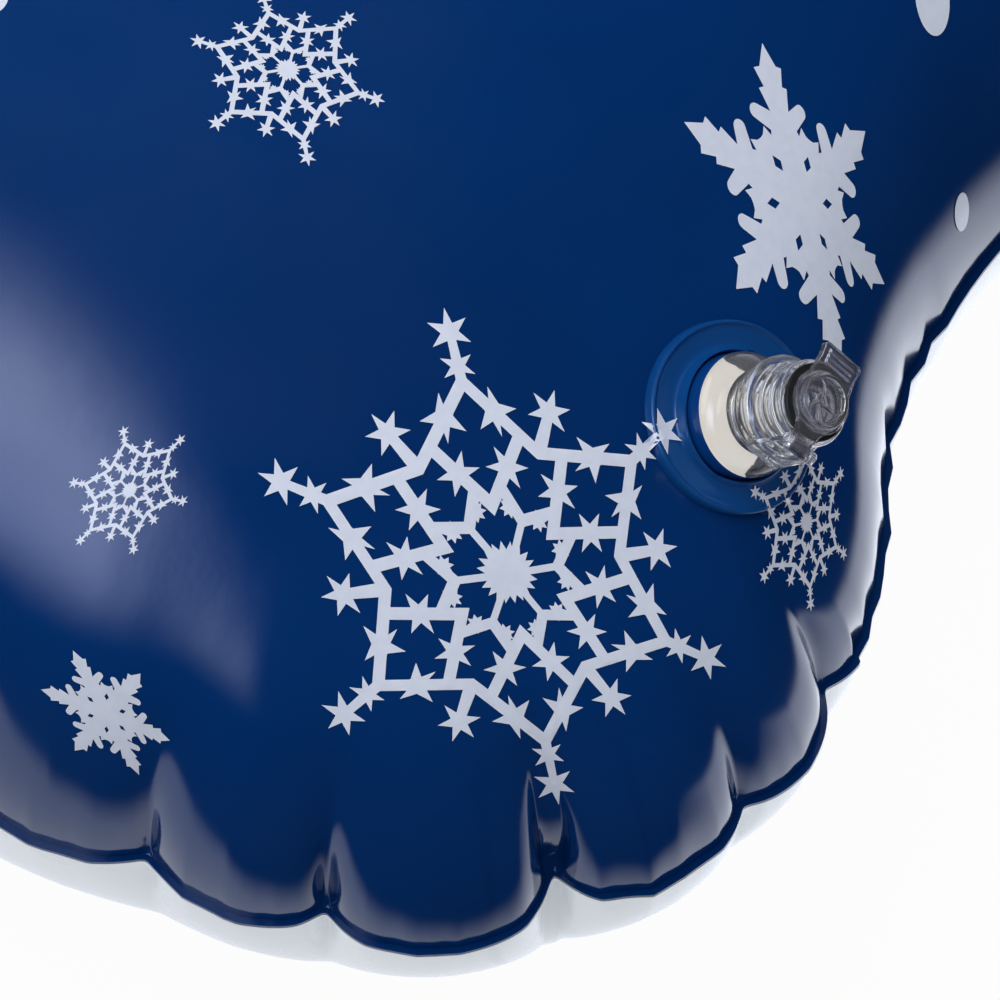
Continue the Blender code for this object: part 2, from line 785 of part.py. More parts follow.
def valve_profile():
    """The clear moulding: a lip under the film, the bell, the ribbed neck and the collar."""
    lip = -VALVE_LIP_DROP
    lip_low = lip - VALVE_WALL
    shoulder = BELL_HEIGHT - (BELL_RADIUS - NECK_RADIUS)
    inner_bell = BELL_RADIUS - VALVE_WALL
    profile = [(VALVE_LIP_RADIUS, lip_low), (VALVE_LIP_RADIUS, lip), (BELL_RADIUS, lip)]
    turn = BELL_RADIUS - NECK_RADIUS + NECK_GROOVE
    centre = (BELL_RADIUS - turn, shoulder - NECK_GROOVE)
    profile += arc_points(centre, turn, 0.0, 90.0, 5)
    low_neck = profile[-1][1]
    base = neck_base()
    profile.append((NECK_RADIUS - NECK_GROOVE, (low_neck + base) / 2 + VALVE_WALL / 4))
    for ring in range(NECK_RING_COUNT):
        middle = base + (ring + 0.5) * NECK_RING_PITCH
        crest = NECK_RING_PITCH / 5
        profile += [(NECK_RADIUS, middle - crest), (NECK_RADIUS, middle + crest)]
        profile.append((NECK_RADIUS - NECK_GROOVE, middle + NECK_RING_PITCH / 2))
    top = collar_top()
    rounding = VALVE_WALL / 3
    profile += [(COLLAR_RADIUS, top - COLLAR_HEIGHT + rounding), (COLLAR_RADIUS, top - rounding)]
    profile += [(COLLAR_RADIUS - rounding, top), (BORE_RADIUS, top)]
    ceiling = shoulder + VALVE_WALL
    profile += [(BORE_RADIUS, ceiling + 2 * VALVE_WALL), (SEAT_RADIUS, ceiling + VALVE_WALL)]
    profile += [(SEAT_RADIUS, ceiling), (FLAP_RADIUS + VALVE_WALL, ceiling)]
    profile += [(inner_bell - turn / 4, shoulder - turn / 3), (inner_bell, lip)]
    profile.append((inner_bell, lip_low))
    return profile, ceiling


def build_valve(trees, finishes):
    frame = standing_frame(trees["top_panel"], VALVE_X, VALVE_Y, VALVE_FLANGE_RADIUS)
    carrier = frame_at("valve_axis", frame)
    bore = BELL_RADIUS + SLIDE_CLEARANCE
    hole = rod(bore + CLEARANCE, -2 * CUT_OVERRUN, 2 * CUT_OVERRUN, "Z", ROUND_SEGMENTS)
    cutter = add("valve_hole", *hole, None, carrier)
    combine(bpy.data.objects["top_panel"], cutter, "DIFFERENCE")

    width = VALVE_FLANGE_RADIUS - bore
    thick = FILM_CLEARANCE + VALVE_FLANGE_THICKNESS
    edge = FILM_CLEARANCE + VALVE_FLANGE_THICKNESS / 2
    shares = ((0.0, thick + VALVE_BEAD), (0.18, thick + VALVE_BEAD), (0.30, thick), (0.72, thick),
              (0.80, thick + VALVE_BEAD), (0.92, thick + VALVE_BEAD), (1.0, edge))
    radii = [bore + share * width for share, _ in shares]
    lifts = [lift for _, lift in shares]
    points, rings = laid_ring(trees["top_panel"], frame, radii, lifts, ROUND_SEGMENTS, FILM_CLEARANCE)
    add("valve_flange", *looped(points, rings, ROUND_SEGMENTS), finishes["valve_flange"], carrier)

    profile, ceiling = valve_profile()
    add("valve_body", *turned(profile), finishes["clear"], carrier)

    flap_top = ceiling - CLEARANCE
    flap = rod(FLAP_RADIUS, flap_top - FLAP_THICKNESS, flap_top, "Z", 16)
    hinge = frame_at("flap_axis", frame @ Matrix.Translation((0.0, -FLAP_RADIUS, flap_top - FLAP_THICKNESS / 2)))
    flap_points = [(x, y + FLAP_RADIUS, z - flap_top + FLAP_THICKNESS / 2) for x, y, z in flap[0]]
    add("valve_check_flap", flap_points, flap[1], finishes["clear"], hinge)

    low = collar_top() + CLEARANCE
    high = low + GASKET_THICKNESS
    ring = [(GASKET_RADIUS, low), (GASKET_RADIUS, high), (BORE_RADIUS, high), (BORE_RADIUS, low)]
    add("valve_gasket", *turned(ring), finishes["gasket"], carrier)
    build_cap(frame, high + CLEARANCE, finishes)
    build_strap(carrier, high + CLEARANCE, finishes)
    report("valve", frame)
    report("flap_hinge", hinge.matrix_world)


def build_cap(frame, seat, finishes):
    """The cap plate with its plug, rim, ribs, boss, pull tab and hinge knuckle."""
    axis_height = seat + CAP_THICKNESS / 2
    carrier = frame_at("cap_axis", frame @ Matrix.Translation((0.0, -HINGE_REACH, axis_height)))
    report("cap_hinge", carrier.matrix_world)

    def moved(shape):
        return [(x, y + HINGE_REACH, z - axis_height) for x, y, z in shape[0]], shape[1]

    half_tab, tail = CAP_TAB_WIDTH / 2, KNUCKLE_WIDTH / 2
    top = seat + CAP_THICKNESS
    round_side = arc_points((0.0, 0.0), CAP_RADIUS, -60.0, 35.0, 8)
    outline = [(tail, -HINGE_REACH), *round_side, (half_tab, 0.86 * CAP_TAB_LENGTH), (0.8 * half_tab, CAP_TAB_LENGTH)]
    outline += [(-x, y) for x, y in reversed(outline)]
    cap = add("valve_cap", *moved(prism(outline, seat, top)), finishes["clear"], carrier)

    outer, inner = CAP_RIM_RADIUS, CAP_RIM_RADIUS - CAP_RIM_WIDTH
    sunk = top - CAP_THICKNESS / 2
    rim = [(outer, sunk), (outer, top + 0.7 * CAP_RIM_HEIGHT), (outer - CAP_RIM_WIDTH / 3, top + CAP_RIM_HEIGHT)]
    rim += [(inner, top + CAP_RIM_HEIGHT), (inner, sunk)]
    pieces = [("cap_rim", turned(rim, 24))]
    pieces.append(("cap_boss", rod(CAP_BOSS_RADIUS, sunk, top + 0.8 * CAP_RIM_HEIGHT)))
    plug_radius = BORE_RADIUS - CLEARANCE - CAP_RIB_WIDTH / 7
    plug_rings = ((plug_radius, sunk), (plug_radius, seat - PLUG_TAPER), (plug_radius - PLUG_TAPER, seat - PLUG_DEPTH))
    plug = [(r * math.cos(a), r * math.sin(a), z) for r, z in plug_rings
            for a in np.linspace(0.0, 2 * math.pi, 20, endpoint=False)]
    pieces.append(("cap_plug", disc_faces(plug, len(plug_rings), 20)))
    pieces.append(("cap_knuckle", knuckle(axis_height)))
    for index in range(3):
        pieces.append((f"cap_rib_{index}", cap_rib(90.0 + 120.0 * index, sunk, top + 0.5 * CAP_RIM_HEIGHT)))
    for name, shape in pieces:
        combine(cap, add(name, *moved(shape), None, carrier), "UNION")
    hole = rod(AXLE_RADIUS + CLEARANCE, -KNUCKLE_WIDTH, KNUCKLE_WIDTH, "X")
    combine(cap, add("cap_axle_hole", *hole, None, carrier), "DIFFERENCE")


def knuckle(height):
    points, faces = rod(KNUCKLE_RADIUS, -KNUCKLE_WIDTH / 2, KNUCKLE_WIDTH / 2, "X")
    return [(x, y - HINGE_REACH, z + height) for x, y, z in points], faces


def cap_rib(angle, low, high):
    """One curved rib, from the boss to the rim."""
    start = CAP_BOSS_RADIUS - CAP_RIB_WIDTH / 2
    end = CAP_RIM_RADIUS - CAP_RIM_WIDTH / 2
    outer, inner = [], []
    for share in np.linspace(0.0, 1.0, 5):
        radius = start + share * (end - start)
        turn = math.radians(angle + 40.0 * share)
        half = CAP_RIB_WIDTH / 2 / radius
        outer.append((radius * math.cos(turn + half), radius * math.sin(turn + half)))
        inner.append((radius * math.cos(turn - half), radius * math.sin(turn - half)))
    return prism(inner + outer[::-1], low, high)


def build_strap(carrier, seat, finishes):
    """The strap: a ring round the neck, a tongue up its side, and two lugs that hold the cap's axle."""
    axis_height = seat + CAP_THICKNESS / 2
    low = collar_top() - COLLAR_HEIGHT - STRAP_RING_DROP
    ring_inner = NECK_RADIUS + CLEARANCE
    ring_outer = ring_inner + STRAP_THICKNESS
    ring = [(ring_outer, low), (ring_outer, low + STRAP_RING_HEIGHT), (ring_inner, low + STRAP_RING_HEIGHT)]
    ring.append((ring_inner, low))
    strap = add("valve_strap", *turned(ring), finishes["clear"], carrier)
    half = KNUCKLE_WIDTH / 2 + CLEARANCE
    outer = half + LUG_WIDTH
    back = -HINGE_REACH - STRAP_THICKNESS / 2
    front = -HINGE_REACH + STRAP_THICKNESS / 2
    top = axis_height - KNUCKLE_RADIUS - CLEARANCE
    joined = low + STRAP_RING_HEIGHT
    pieces = [
        ("strap_tongue", block((-outer, back, low), (outer, front, top))),
        ("strap_root", block((-outer, back, low), (outer, -ring_inner - STRAP_THICKNESS / 2, joined))),
        ("strap_axle", rod(AXLE_RADIUS, -half - LUG_WIDTH / 2, half + LUG_WIDTH / 2, "X")),
    ]
    for side, ends in (("left", (-outer, -half)), ("right", (half, outer))):
        pieces.append((f"strap_lug_{side}", rod(KNUCKLE_RADIUS, *ends, "X")))
        foot = block((ends[0], back, top - STRAP_THICKNESS), (ends[1], front, axis_height))
        pieces.append((f"strap_foot_{side}", foot))
    for name, (points, faces) in pieces:
        if "axle" in name or "lug" in name:
            points = [(x, y - HINGE_REACH, z + axis_height) for x, y, z in points]
        combine(strap, add(name, points, faces, None, carrier), "UNION")


def handle_path():
    """The handle's centre line in its hinge plane, from one head to the other, with a size at each point."""
    ear = HANDLE_SPAN / 2
    outside = ear + EAR_THICKNESS / 2 + CLEARANCE
    foot = ear - EAR_THICKNESS / 2 - HANDLE_FOOT_RUN
    head = HANDLE_HEAD_RADIUS / HANDLE_BAR_RADIUS
    path = [(outside + HANDLE_HEAD_LENGTH, 0.0, head), (outside + HANDLE_BAR_RADIUS / 10, 0.0, head)]
    path.append((outside, 0.0, 1.0))
    for y, z in arc_points((foot, HANDLE_FOOT_BEND), HANDLE_FOOT_BEND, 270.0, 180.0, 5):
        path.append((y, z, 1.0))
    side = foot - HANDLE_FOOT_BEND
    for y, z in arc_points((side - HANDLE_TOP_BEND, HANDLE_ARM - HANDLE_TOP_BEND), HANDLE_TOP_BEND, 0.0, 90.0, 5):
        path.append((y, z, 1.0))
    return path + [(-y, z, size) for y, z, size in reversed(path)]


def grip_half_length():
    ear = HANDLE_SPAN / 2
    foot = ear - EAR_THICKNESS / 2 - HANDLE_FOOT_RUN
    return foot - HANDLE_FOOT_BEND - HANDLE_TOP_BEND - CLEARANCE


def build_handle(side, trees, finishes):
    name = "right" if side > 0 else "left"
    tree = trees["top_panel"]
    base = standing_frame(tree, side * HANDLE_X, HANDLE_Y, EAR_RADIUS)
    carrier = frame_at(f"handle_{name}_axis", base @ Matrix.Translation((0.0, 0.0, HANDLE_AXIS_HEIGHT)))
    report(f"handle_{name}", carrier.matrix_world)

    curve = bpy.data.curves.new(f"handle_{name}", "CURVE")
    curve.dimensions = "3D"
    curve.bevel_depth = HANDLE_BAR_RADIUS
    curve.bevel_resolution = 2
    curve.use_fill_caps = True
    path = handle_path()
    spline = curve.splines.new("POLY")
    spline.points.add(len(path) - 1)
    for point, (y, z, size) in zip(spline.points, path):
        point.co = (0.0, y, z, 1.0)
        point.radius = size
    curve.materials.append(finishes["handle"])
    bar = bpy.data.objects.new(f"handle_{name}", curve)
    bpy.context.scene.collection.objects.link(bar)
    bar.parent = carrier

    half = grip_half_length()
    inner = HANDLE_BAR_RADIUS + CLEARANCE
    pitch = 2 * half / GRIP_RIB_COUNT
    outer = [(GRIP_RADIUS - GRIP_RIB, -half)]
    for index in range(GRIP_RIB_COUNT):
        low = -half + index * pitch
        outer += [(GRIP_RADIUS, low + pitch / 3), (GRIP_RADIUS, low + 2 * pitch / 3)]
        outer.append((GRIP_RADIUS - GRIP_RIB, low + pitch))
    points, faces = turned(outer + [(inner, half), (inner, -half)], 14)
    points = [(x, z, y + HANDLE_ARM) for x, y, z in points]
    add(f"handle_{name}_grip", points, faces, finishes["grip"], carrier)

    for end, place in ((1, "front"), (-1, "rear")):
        build_patch(f"handle_{name}_patch_{place}", tree, base, end, finishes)


def build_patch(name, tree, base, end, finishes):
    """A welded disc that follows the film, with an ear that the handle's end turns in."""
    frame = base @ Matrix.Translation((0.0, end * HANDLE_SPAN / 2, 0.0))
    carrier = frame_at(name + "_place", frame)
    segments = 20
    low, high = FILM_CLEARANCE, FILM_CLEARANCE + PATCH_THICKNESS
    radii = [share * PATCH_RADIUS for share in PATCH_RING_SHARES]
    lifts = [high] * (len(radii) - 1) + [low + PATCH_THICKNESS / 3]
    points, rings = laid_ring(tree, frame, radii, lifts, segments, low)
    faces = disc_faces(points, rings, segments)[1]
    patch = add(name, points, faces, finishes["patch"], carrier)
    half = EAR_THICKNESS / 2
    ring = arc_points((0.0, HANDLE_AXIS_HEIGHT), EAR_RADIUS, 0.0, 180.0, 11)
    under = [point[2] for point in points[:segments]]
    foot = sum(under) / segments - PATCH_THICKNESS / 3
    outline = [(1.25 * EAR_RADIUS, foot), *ring, (-1.25 * EAR_RADIUS, foot)]
    points, faces = prism(outline, -half, half)
    points = [(x, y, z) for x, z, y in points]
    combine(patch, add(name + "_ear", points, faces, None, carrier), "UNION")
    hole = rod(HANDLE_BAR_RADIUS + SLIDE_CLEARANCE, -2 * half, 2 * half, "Y", 16)
    hole_points = [(x, y, z + HANDLE_AXIS_HEIGHT) for x, y, z in hole[0]]
    combine(patch, add(name + "_hole", hole_points, hole[1], None, carrier), "DIFFERENCE")


def build_tow_tab(finishes):
    """A doubled tab welded on the nose flange, with a metal eyelet."""
    nose = SLED_LENGTH / 2
    level = float(seam_height(np.array([nose]))[0]) + WELD_GAP / 2 + FILM + CLEARANCE
    rear = nose - TAB_LAP_SHARE * FLANGE_WIDTH
    front = rear + TAB_LENGTH
    half = TAB_WIDTH / 2
    corner = (half - TAB_CORNER, front - TAB_CORNER)
    outline = [(half, rear), *arc_points(corner, TAB_CORNER, 0.0, 90.0, 6)]
    outline += [(-x, y) for x, y in reversed(outline)]
    tab = add("tow_tab", *prism(outline, level, level + TAB_THICKNESS), finishes["tab"])
    centre = (0.0, front - TAB_CORNER, level)
    barrel = EYELET_BORE_RADIUS + EYELET_WALL
    place = frame_at("tow_eyelet_place", Matrix.Translation(centre))
    hole = rod(barrel + CLEARANCE, -TAB_THICKNESS, 2 * TAB_THICKNESS, "Z", 24)
    combine(tab, add("tow_hole", *hole, None, place), "DIFFERENCE")
    low, high = -CLEARANCE, TAB_THICKNESS + CLEARANCE
    wide = EYELET_BORE_RADIUS + EYELET_FLANGE
    rounding = EYELET_FLANGE_THICKNESS / 2
    profile = [
        (EYELET_BORE_RADIUS, low), (EYELET_BORE_RADIUS + rounding, low - EYELET_FLANGE_THICKNESS),
        (wide - rounding, low - EYELET_FLANGE_THICKNESS), (wide, low), (barrel, low), (barrel, high), (wide, high),
        (wide - rounding, high + EYELET_FLANGE_THICKNESS),
        (EYELET_BORE_RADIUS + rounding, high + EYELET_FLANGE_THICKNESS), (EYELET_BORE_RADIUS, high),
    ]
    add("tow_eyelet", *turned(profile, 24), finishes["eyelet"], place)
    report("tow_eyelet", Matrix.Translation(centre))


def report(name, matrix):
    """Prints a place and its axes, for whoever fits another part to this one."""
    place = ", ".join(f"{value:.6f}" for value in matrix.translation)
    axes = "  ".join(
        f"{axis} ({', '.join(f'{value:.6f}' for value in matrix.to_3x3().col[index])})"
        for index, axis in enumerate("XYZ")
    )
    print(f"{name}: at ({place})  {axes}")


def finish_table():
    navy = (0.003, 0.026, 0.13)
    clear = material("clear_pvc", (0.8, 0.8, 0.79), 0.12, transmission=0.9)
    return {
        "top_panel": material("navy_pvc", navy, 0.22),
        "bottom_panel": material("white_pvc", (0.75, 0.78, 0.82), 0.3),
        "web": material("web_pvc", (0.7, 0.72, 0.75), 0.4),
        "valve_flange": material("flange_pvc", (0.004, 0.035, 0.16), 0.3),
        "clear": clear,
        "gasket": material("gasket_rubber", (0.01, 0.01, 0.01), 0.6),
        "handle": material("handle_pvc", (0.01, 0.04, 0.15), 0.4),
        "grip": material("grip_foam", (0.02, 0.02, 0.025), 0.8),
        "patch": material("patch_pvc", navy, 0.3),
        "tab": material("tab_pvc", navy, 0.35),
        "eyelet": material("eyelet_metal", (0.72, 0.72, 0.7), 0.25, metallic=1.0),
    }


def main():
    clear_scene()
    finishes = finish_table()
    trees = build_films(finishes)
    build_baffles(trees, finishes["web"])
    build_valve(trees, finishes)
    for side in (1, -1):
        build_handle(side, trees, finishes)
    build_tow_tab(finishes)
    bpy.context.view_layer.update()


main()
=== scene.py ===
"""Looks of an inflatable snow sled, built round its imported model.

Metres, in the model's own frame: +X to the rider's right, +Y towards the nose, +Z up. The outline
and the heights of the two films follow the model's own formulas, with finer folds and seams.
"""

import json
import math
import random

import bmesh
import bpy
import numpy as np
from mathutils import Matrix, Vector
from mathutils.bvhtree import BVHTree
from mathutils.geometry import delaunay_2d_cdt


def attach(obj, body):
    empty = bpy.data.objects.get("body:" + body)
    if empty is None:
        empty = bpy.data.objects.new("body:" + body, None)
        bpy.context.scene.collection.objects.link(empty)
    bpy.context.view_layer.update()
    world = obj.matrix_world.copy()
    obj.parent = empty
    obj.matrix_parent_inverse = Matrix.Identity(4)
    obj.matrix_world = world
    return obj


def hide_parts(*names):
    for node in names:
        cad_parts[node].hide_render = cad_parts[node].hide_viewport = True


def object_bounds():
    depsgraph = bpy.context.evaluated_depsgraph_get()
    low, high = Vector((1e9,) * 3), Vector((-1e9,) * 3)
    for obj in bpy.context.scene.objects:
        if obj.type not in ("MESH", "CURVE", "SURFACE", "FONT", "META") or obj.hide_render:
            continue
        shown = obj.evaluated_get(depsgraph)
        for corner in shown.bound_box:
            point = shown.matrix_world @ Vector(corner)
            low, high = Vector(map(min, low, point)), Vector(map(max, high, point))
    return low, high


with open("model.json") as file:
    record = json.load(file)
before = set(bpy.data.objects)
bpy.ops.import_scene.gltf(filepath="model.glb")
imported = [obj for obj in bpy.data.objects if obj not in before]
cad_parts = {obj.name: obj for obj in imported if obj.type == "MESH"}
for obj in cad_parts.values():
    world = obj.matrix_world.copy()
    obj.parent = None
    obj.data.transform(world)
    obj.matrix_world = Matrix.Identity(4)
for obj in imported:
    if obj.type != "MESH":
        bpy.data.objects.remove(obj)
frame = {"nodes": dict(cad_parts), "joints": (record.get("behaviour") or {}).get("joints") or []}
cad_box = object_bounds()
JOINTS = {joint["name"]: joint for joint in frame["joints"]}

# The photograph's camera: it looks down on the rear right corner
PHOTO_PIXELS = 1000
VIEW_WIDTH = 0.2
VIEW_DISTANCE = 2.4
SENSOR = 36.0
VIEW_CENTRE = Vector((0.2017, -0.4173, 0.0904))
VIEW_RIGHT = Vector((0.92, 0.39, 0.0)).normalized()
VIEW_BACK = Vector((0.183, -0.432, 0.883)).normalized()

# Outline of the weld, seen from above
SLED_LENGTH = 1.05
BODY_WIDTH = 0.62
LOBE_SET_BACK = 0.026
LOBE_RADIUS = 0.095
WAIST_RADIUS = 0.109
WAIST_AHEAD = 0.077
BODY_BEND_RADIUS = 0.2
NOSE_DEPTH = 0.22
NOSE_CORNER_RADIUS = 0.15

# Films and weld
FILM = 0.0006
WELD_GAP = 0.0003
FLANGE_WIDTH = 0.005
SEAM_HEIGHT = 0.09
TOP_CROWN = 0.115
BOTTOM_CROWN = 0.105
PILLOW_REACH = 0.08
NOSE_RISE = 0.06
NOSE_RISE_LENGTH = 0.375
GROUND_EASE = 0.012

# Deck, keel and the webs between them
BAFFLE_COUNT = 4
BAFFLE_PITCH = 0.193548 * BODY_WIDTH
BAFFLE_LENGTH = 0.49
BAFFLE_STRIP = 0.012
DECK_DROP = 0.022
DECK_VALLEY = 0.026
DECK_FADE = 0.06
KEEL_VALLEY = 0.014
KEEL_HALF_WIDTH = 0.03

# Folds along the weld
FOLD_DEPTH = 0.012
FOLD_WIDTH = 0.007
FOLD_REACH = 0.022
REAR_FOLD_PITCH = 0.04
SIDE_FOLD_PITCH = 0.048
NOSE_FOLD_PITCH = 0.038
LOBE_FOLD_SHARES = (0.10, 0.375, 0.615, 0.79)
LOBE_FOLD_DEPTH_SHARES = (0.58, 1.0, 0.42, 0.5)
REAR_FOLD_SHARE = 0.48
SIDE_FOLD_SHARE = 0.17
NOSE_FOLD_SHARE = 0.6
SEAM_LIFT_SHARE = 0.2

# Oral valve, standing on the film at the rear right
VALVE_FROM_SIDE = 0.0625
VALVE_FROM_REAR = 0.115
VALVE_X = BODY_WIDTH / 2 - VALVE_FROM_SIDE
VALVE_Y = VALVE_FROM_REAR - SLED_LENGTH / 2
VALVE_FLANGE_RADIUS = 0.0194
VALVE_LIP_RADIUS = 0.0152
VALVE_LIP_DROP = 0.0029
VALVE_WALL = 0.0012
BELL_RADIUS = 0.0125
BELL_HEIGHT = 0.0094
NECK_RADIUS = 0.0089
NECK_GROOVE = 0.0011
NECK_RING_COUNT = 4
NECK_RING_PITCH = 0.0028
COLLAR_RADIUS = 0.0086
COLLAR_HEIGHT = 0.0034
BORE_RADIUS = 0.0062
SEAT_RADIUS = 0.0045
FLAP_RADIUS = 0.0056
FLAP_THICKNESS = 0.0008
GASKET_THICKNESS = 0.001
GASKET_RADIUS = 0.0077

# Cap and the strap that ties it to the neck
CAP_THICKNESS = 0.0014
CAP_RADIUS = 0.0066
CAP_RIM_RADIUS = 0.0057
CAP_RIM_WIDTH = 0.0011
CAP_RIM_HEIGHT = 0.0011
CAP_BOSS_RADIUS = 0.0014
CAP_RIB_WIDTH = 0.0007
CAP_TAB_LENGTH = 0.0112
CAP_TAB_WIDTH = 0.0098
PLUG_DEPTH = 0.0045
PLUG_TAPER = 0.0008
HINGE_REACH = 0.0112
KNUCKLE_RADIUS = 0.0014
KNUCKLE_WIDTH = 0.0044
AXLE_RADIUS = 0.0005
LUG_WIDTH = 0.0015
STRAP_THICKNESS = 0.0012
STRAP_RING_DROP = 0.0062
STRAP_RING_HEIGHT = 0.0022

# Handles on the side tubes
HANDLE_FROM_SIDE = 0.075
HANDLE_X = BODY_WIDTH / 2 - HANDLE_FROM_SIDE
HANDLE_Y = 0.03
HANDLE_SPAN = 0.16
HANDLE_BAR_RADIUS = 0.0038
HANDLE_AXIS_HEIGHT = 0.0122
HANDLE_ARM = 0.038
HANDLE_FOOT_BEND = 0.01
HANDLE_TOP_BEND = 0.014
HANDLE_FOOT_RUN = 0.008
HANDLE_HEAD_RADIUS = 0.0058
HANDLE_HEAD_LENGTH = 0.003
GRIP_RADIUS = 0.0095
GRIP_RIB = 0.0012
GRIP_RIB_COUNT = 7
GRIP_RIB_STEPS = 14
GRIP_RIB_SHARPNESS = 2.2
PATCH_RADIUS = 0.027
PATCH_THICKNESS = 0.0018
EAR_THICKNESS = 0.006
EAR_RADIUS = 0.0085

# Tow tab at the nose
TAB_LENGTH = 0.034
TAB_WIDTH = 0.06
TAB_THICKNESS = 0.0024
TAB_CORNER = 0.014
TAB_LAP_SHARE = 0.7
EYELET_BORE_RADIUS = 0.006
EYELET_WALL = 0.0011
EYELET_FLANGE = 0.0042
EYELET_FLANGE_THICKNESS = 0.0009

# Clearances
CLEARANCE = 0.0003
SLIDE_CLEARANCE = 0.0006
FILM_CLEARANCE = 0.0009

# The grid on which the film's lift is relaxed
GRID_STEP = 0.0075
GRID_SWEEPS = 500
OVER_RELAXATION = 1.7
NEAR_BAND = 0.03
NODES_AT_ONCE = 4000
SHORTEST_ARM = 0.05
SPREAD_CELLS = 4

VIEW_UP = VIEW_BACK.cross(VIEW_RIGHT)
EYE = VIEW_CENTRE + VIEW_DISTANCE * VIEW_BACK
VIEW = Matrix.Translation(EYE) @ Matrix((VIEW_RIGHT, VIEW_UP, VIEW_BACK)).transposed().to_4x4()

NECK_BASE = BELL_HEIGHT + NECK_GROOVE
COLLAR_TOP = NECK_BASE + NECK_RING_COUNT * NECK_RING_PITCH + COLLAR_HEIGHT
CAP_SEAT = COLLAR_TOP + 2 * CLEARANCE + GASKET_THICKNESS
HINGE_HEIGHT = CAP_SEAT + CAP_THICKNESS / 2


def valve_frame():
    """The valve's axes: Z out of the film along its slide, and Y away from the cap's hinge."""
    hinge = JOINTS["cap_hinge"]
    up = Vector(JOINTS["valve_push"]["axis"]).normalized()
    across = Vector(hinge["axis"]).normalized()
    ahead = up.cross(across)
    spot = Vector(hinge["pos_m"]) + HINGE_REACH * ahead - HINGE_HEIGHT * up
    return Matrix.Translation(spot) @ Matrix((across, ahead, up)).transposed().to_4x4()


VALVE = valve_frame()
HOLE_RADIUS = BELL_RADIUS + SLIDE_CLEARANCE + CLEARANCE
HOLE_SEGMENTS = 64
HOLE_PASSES = 12
HOLE_EASE = 0.7
HOLE_CLEARING = 1.25
SIDES = ((1, 0), (-1, 0), (0, 1), (0, -1))
CORNERS = ((1, 1), (1, -1), (-1, 1), (-1, -1))


def smoothstep(value):
    value = np.clip(value, 0.0, 1.0)
    return value * value * (3.0 - 2.0 * value)


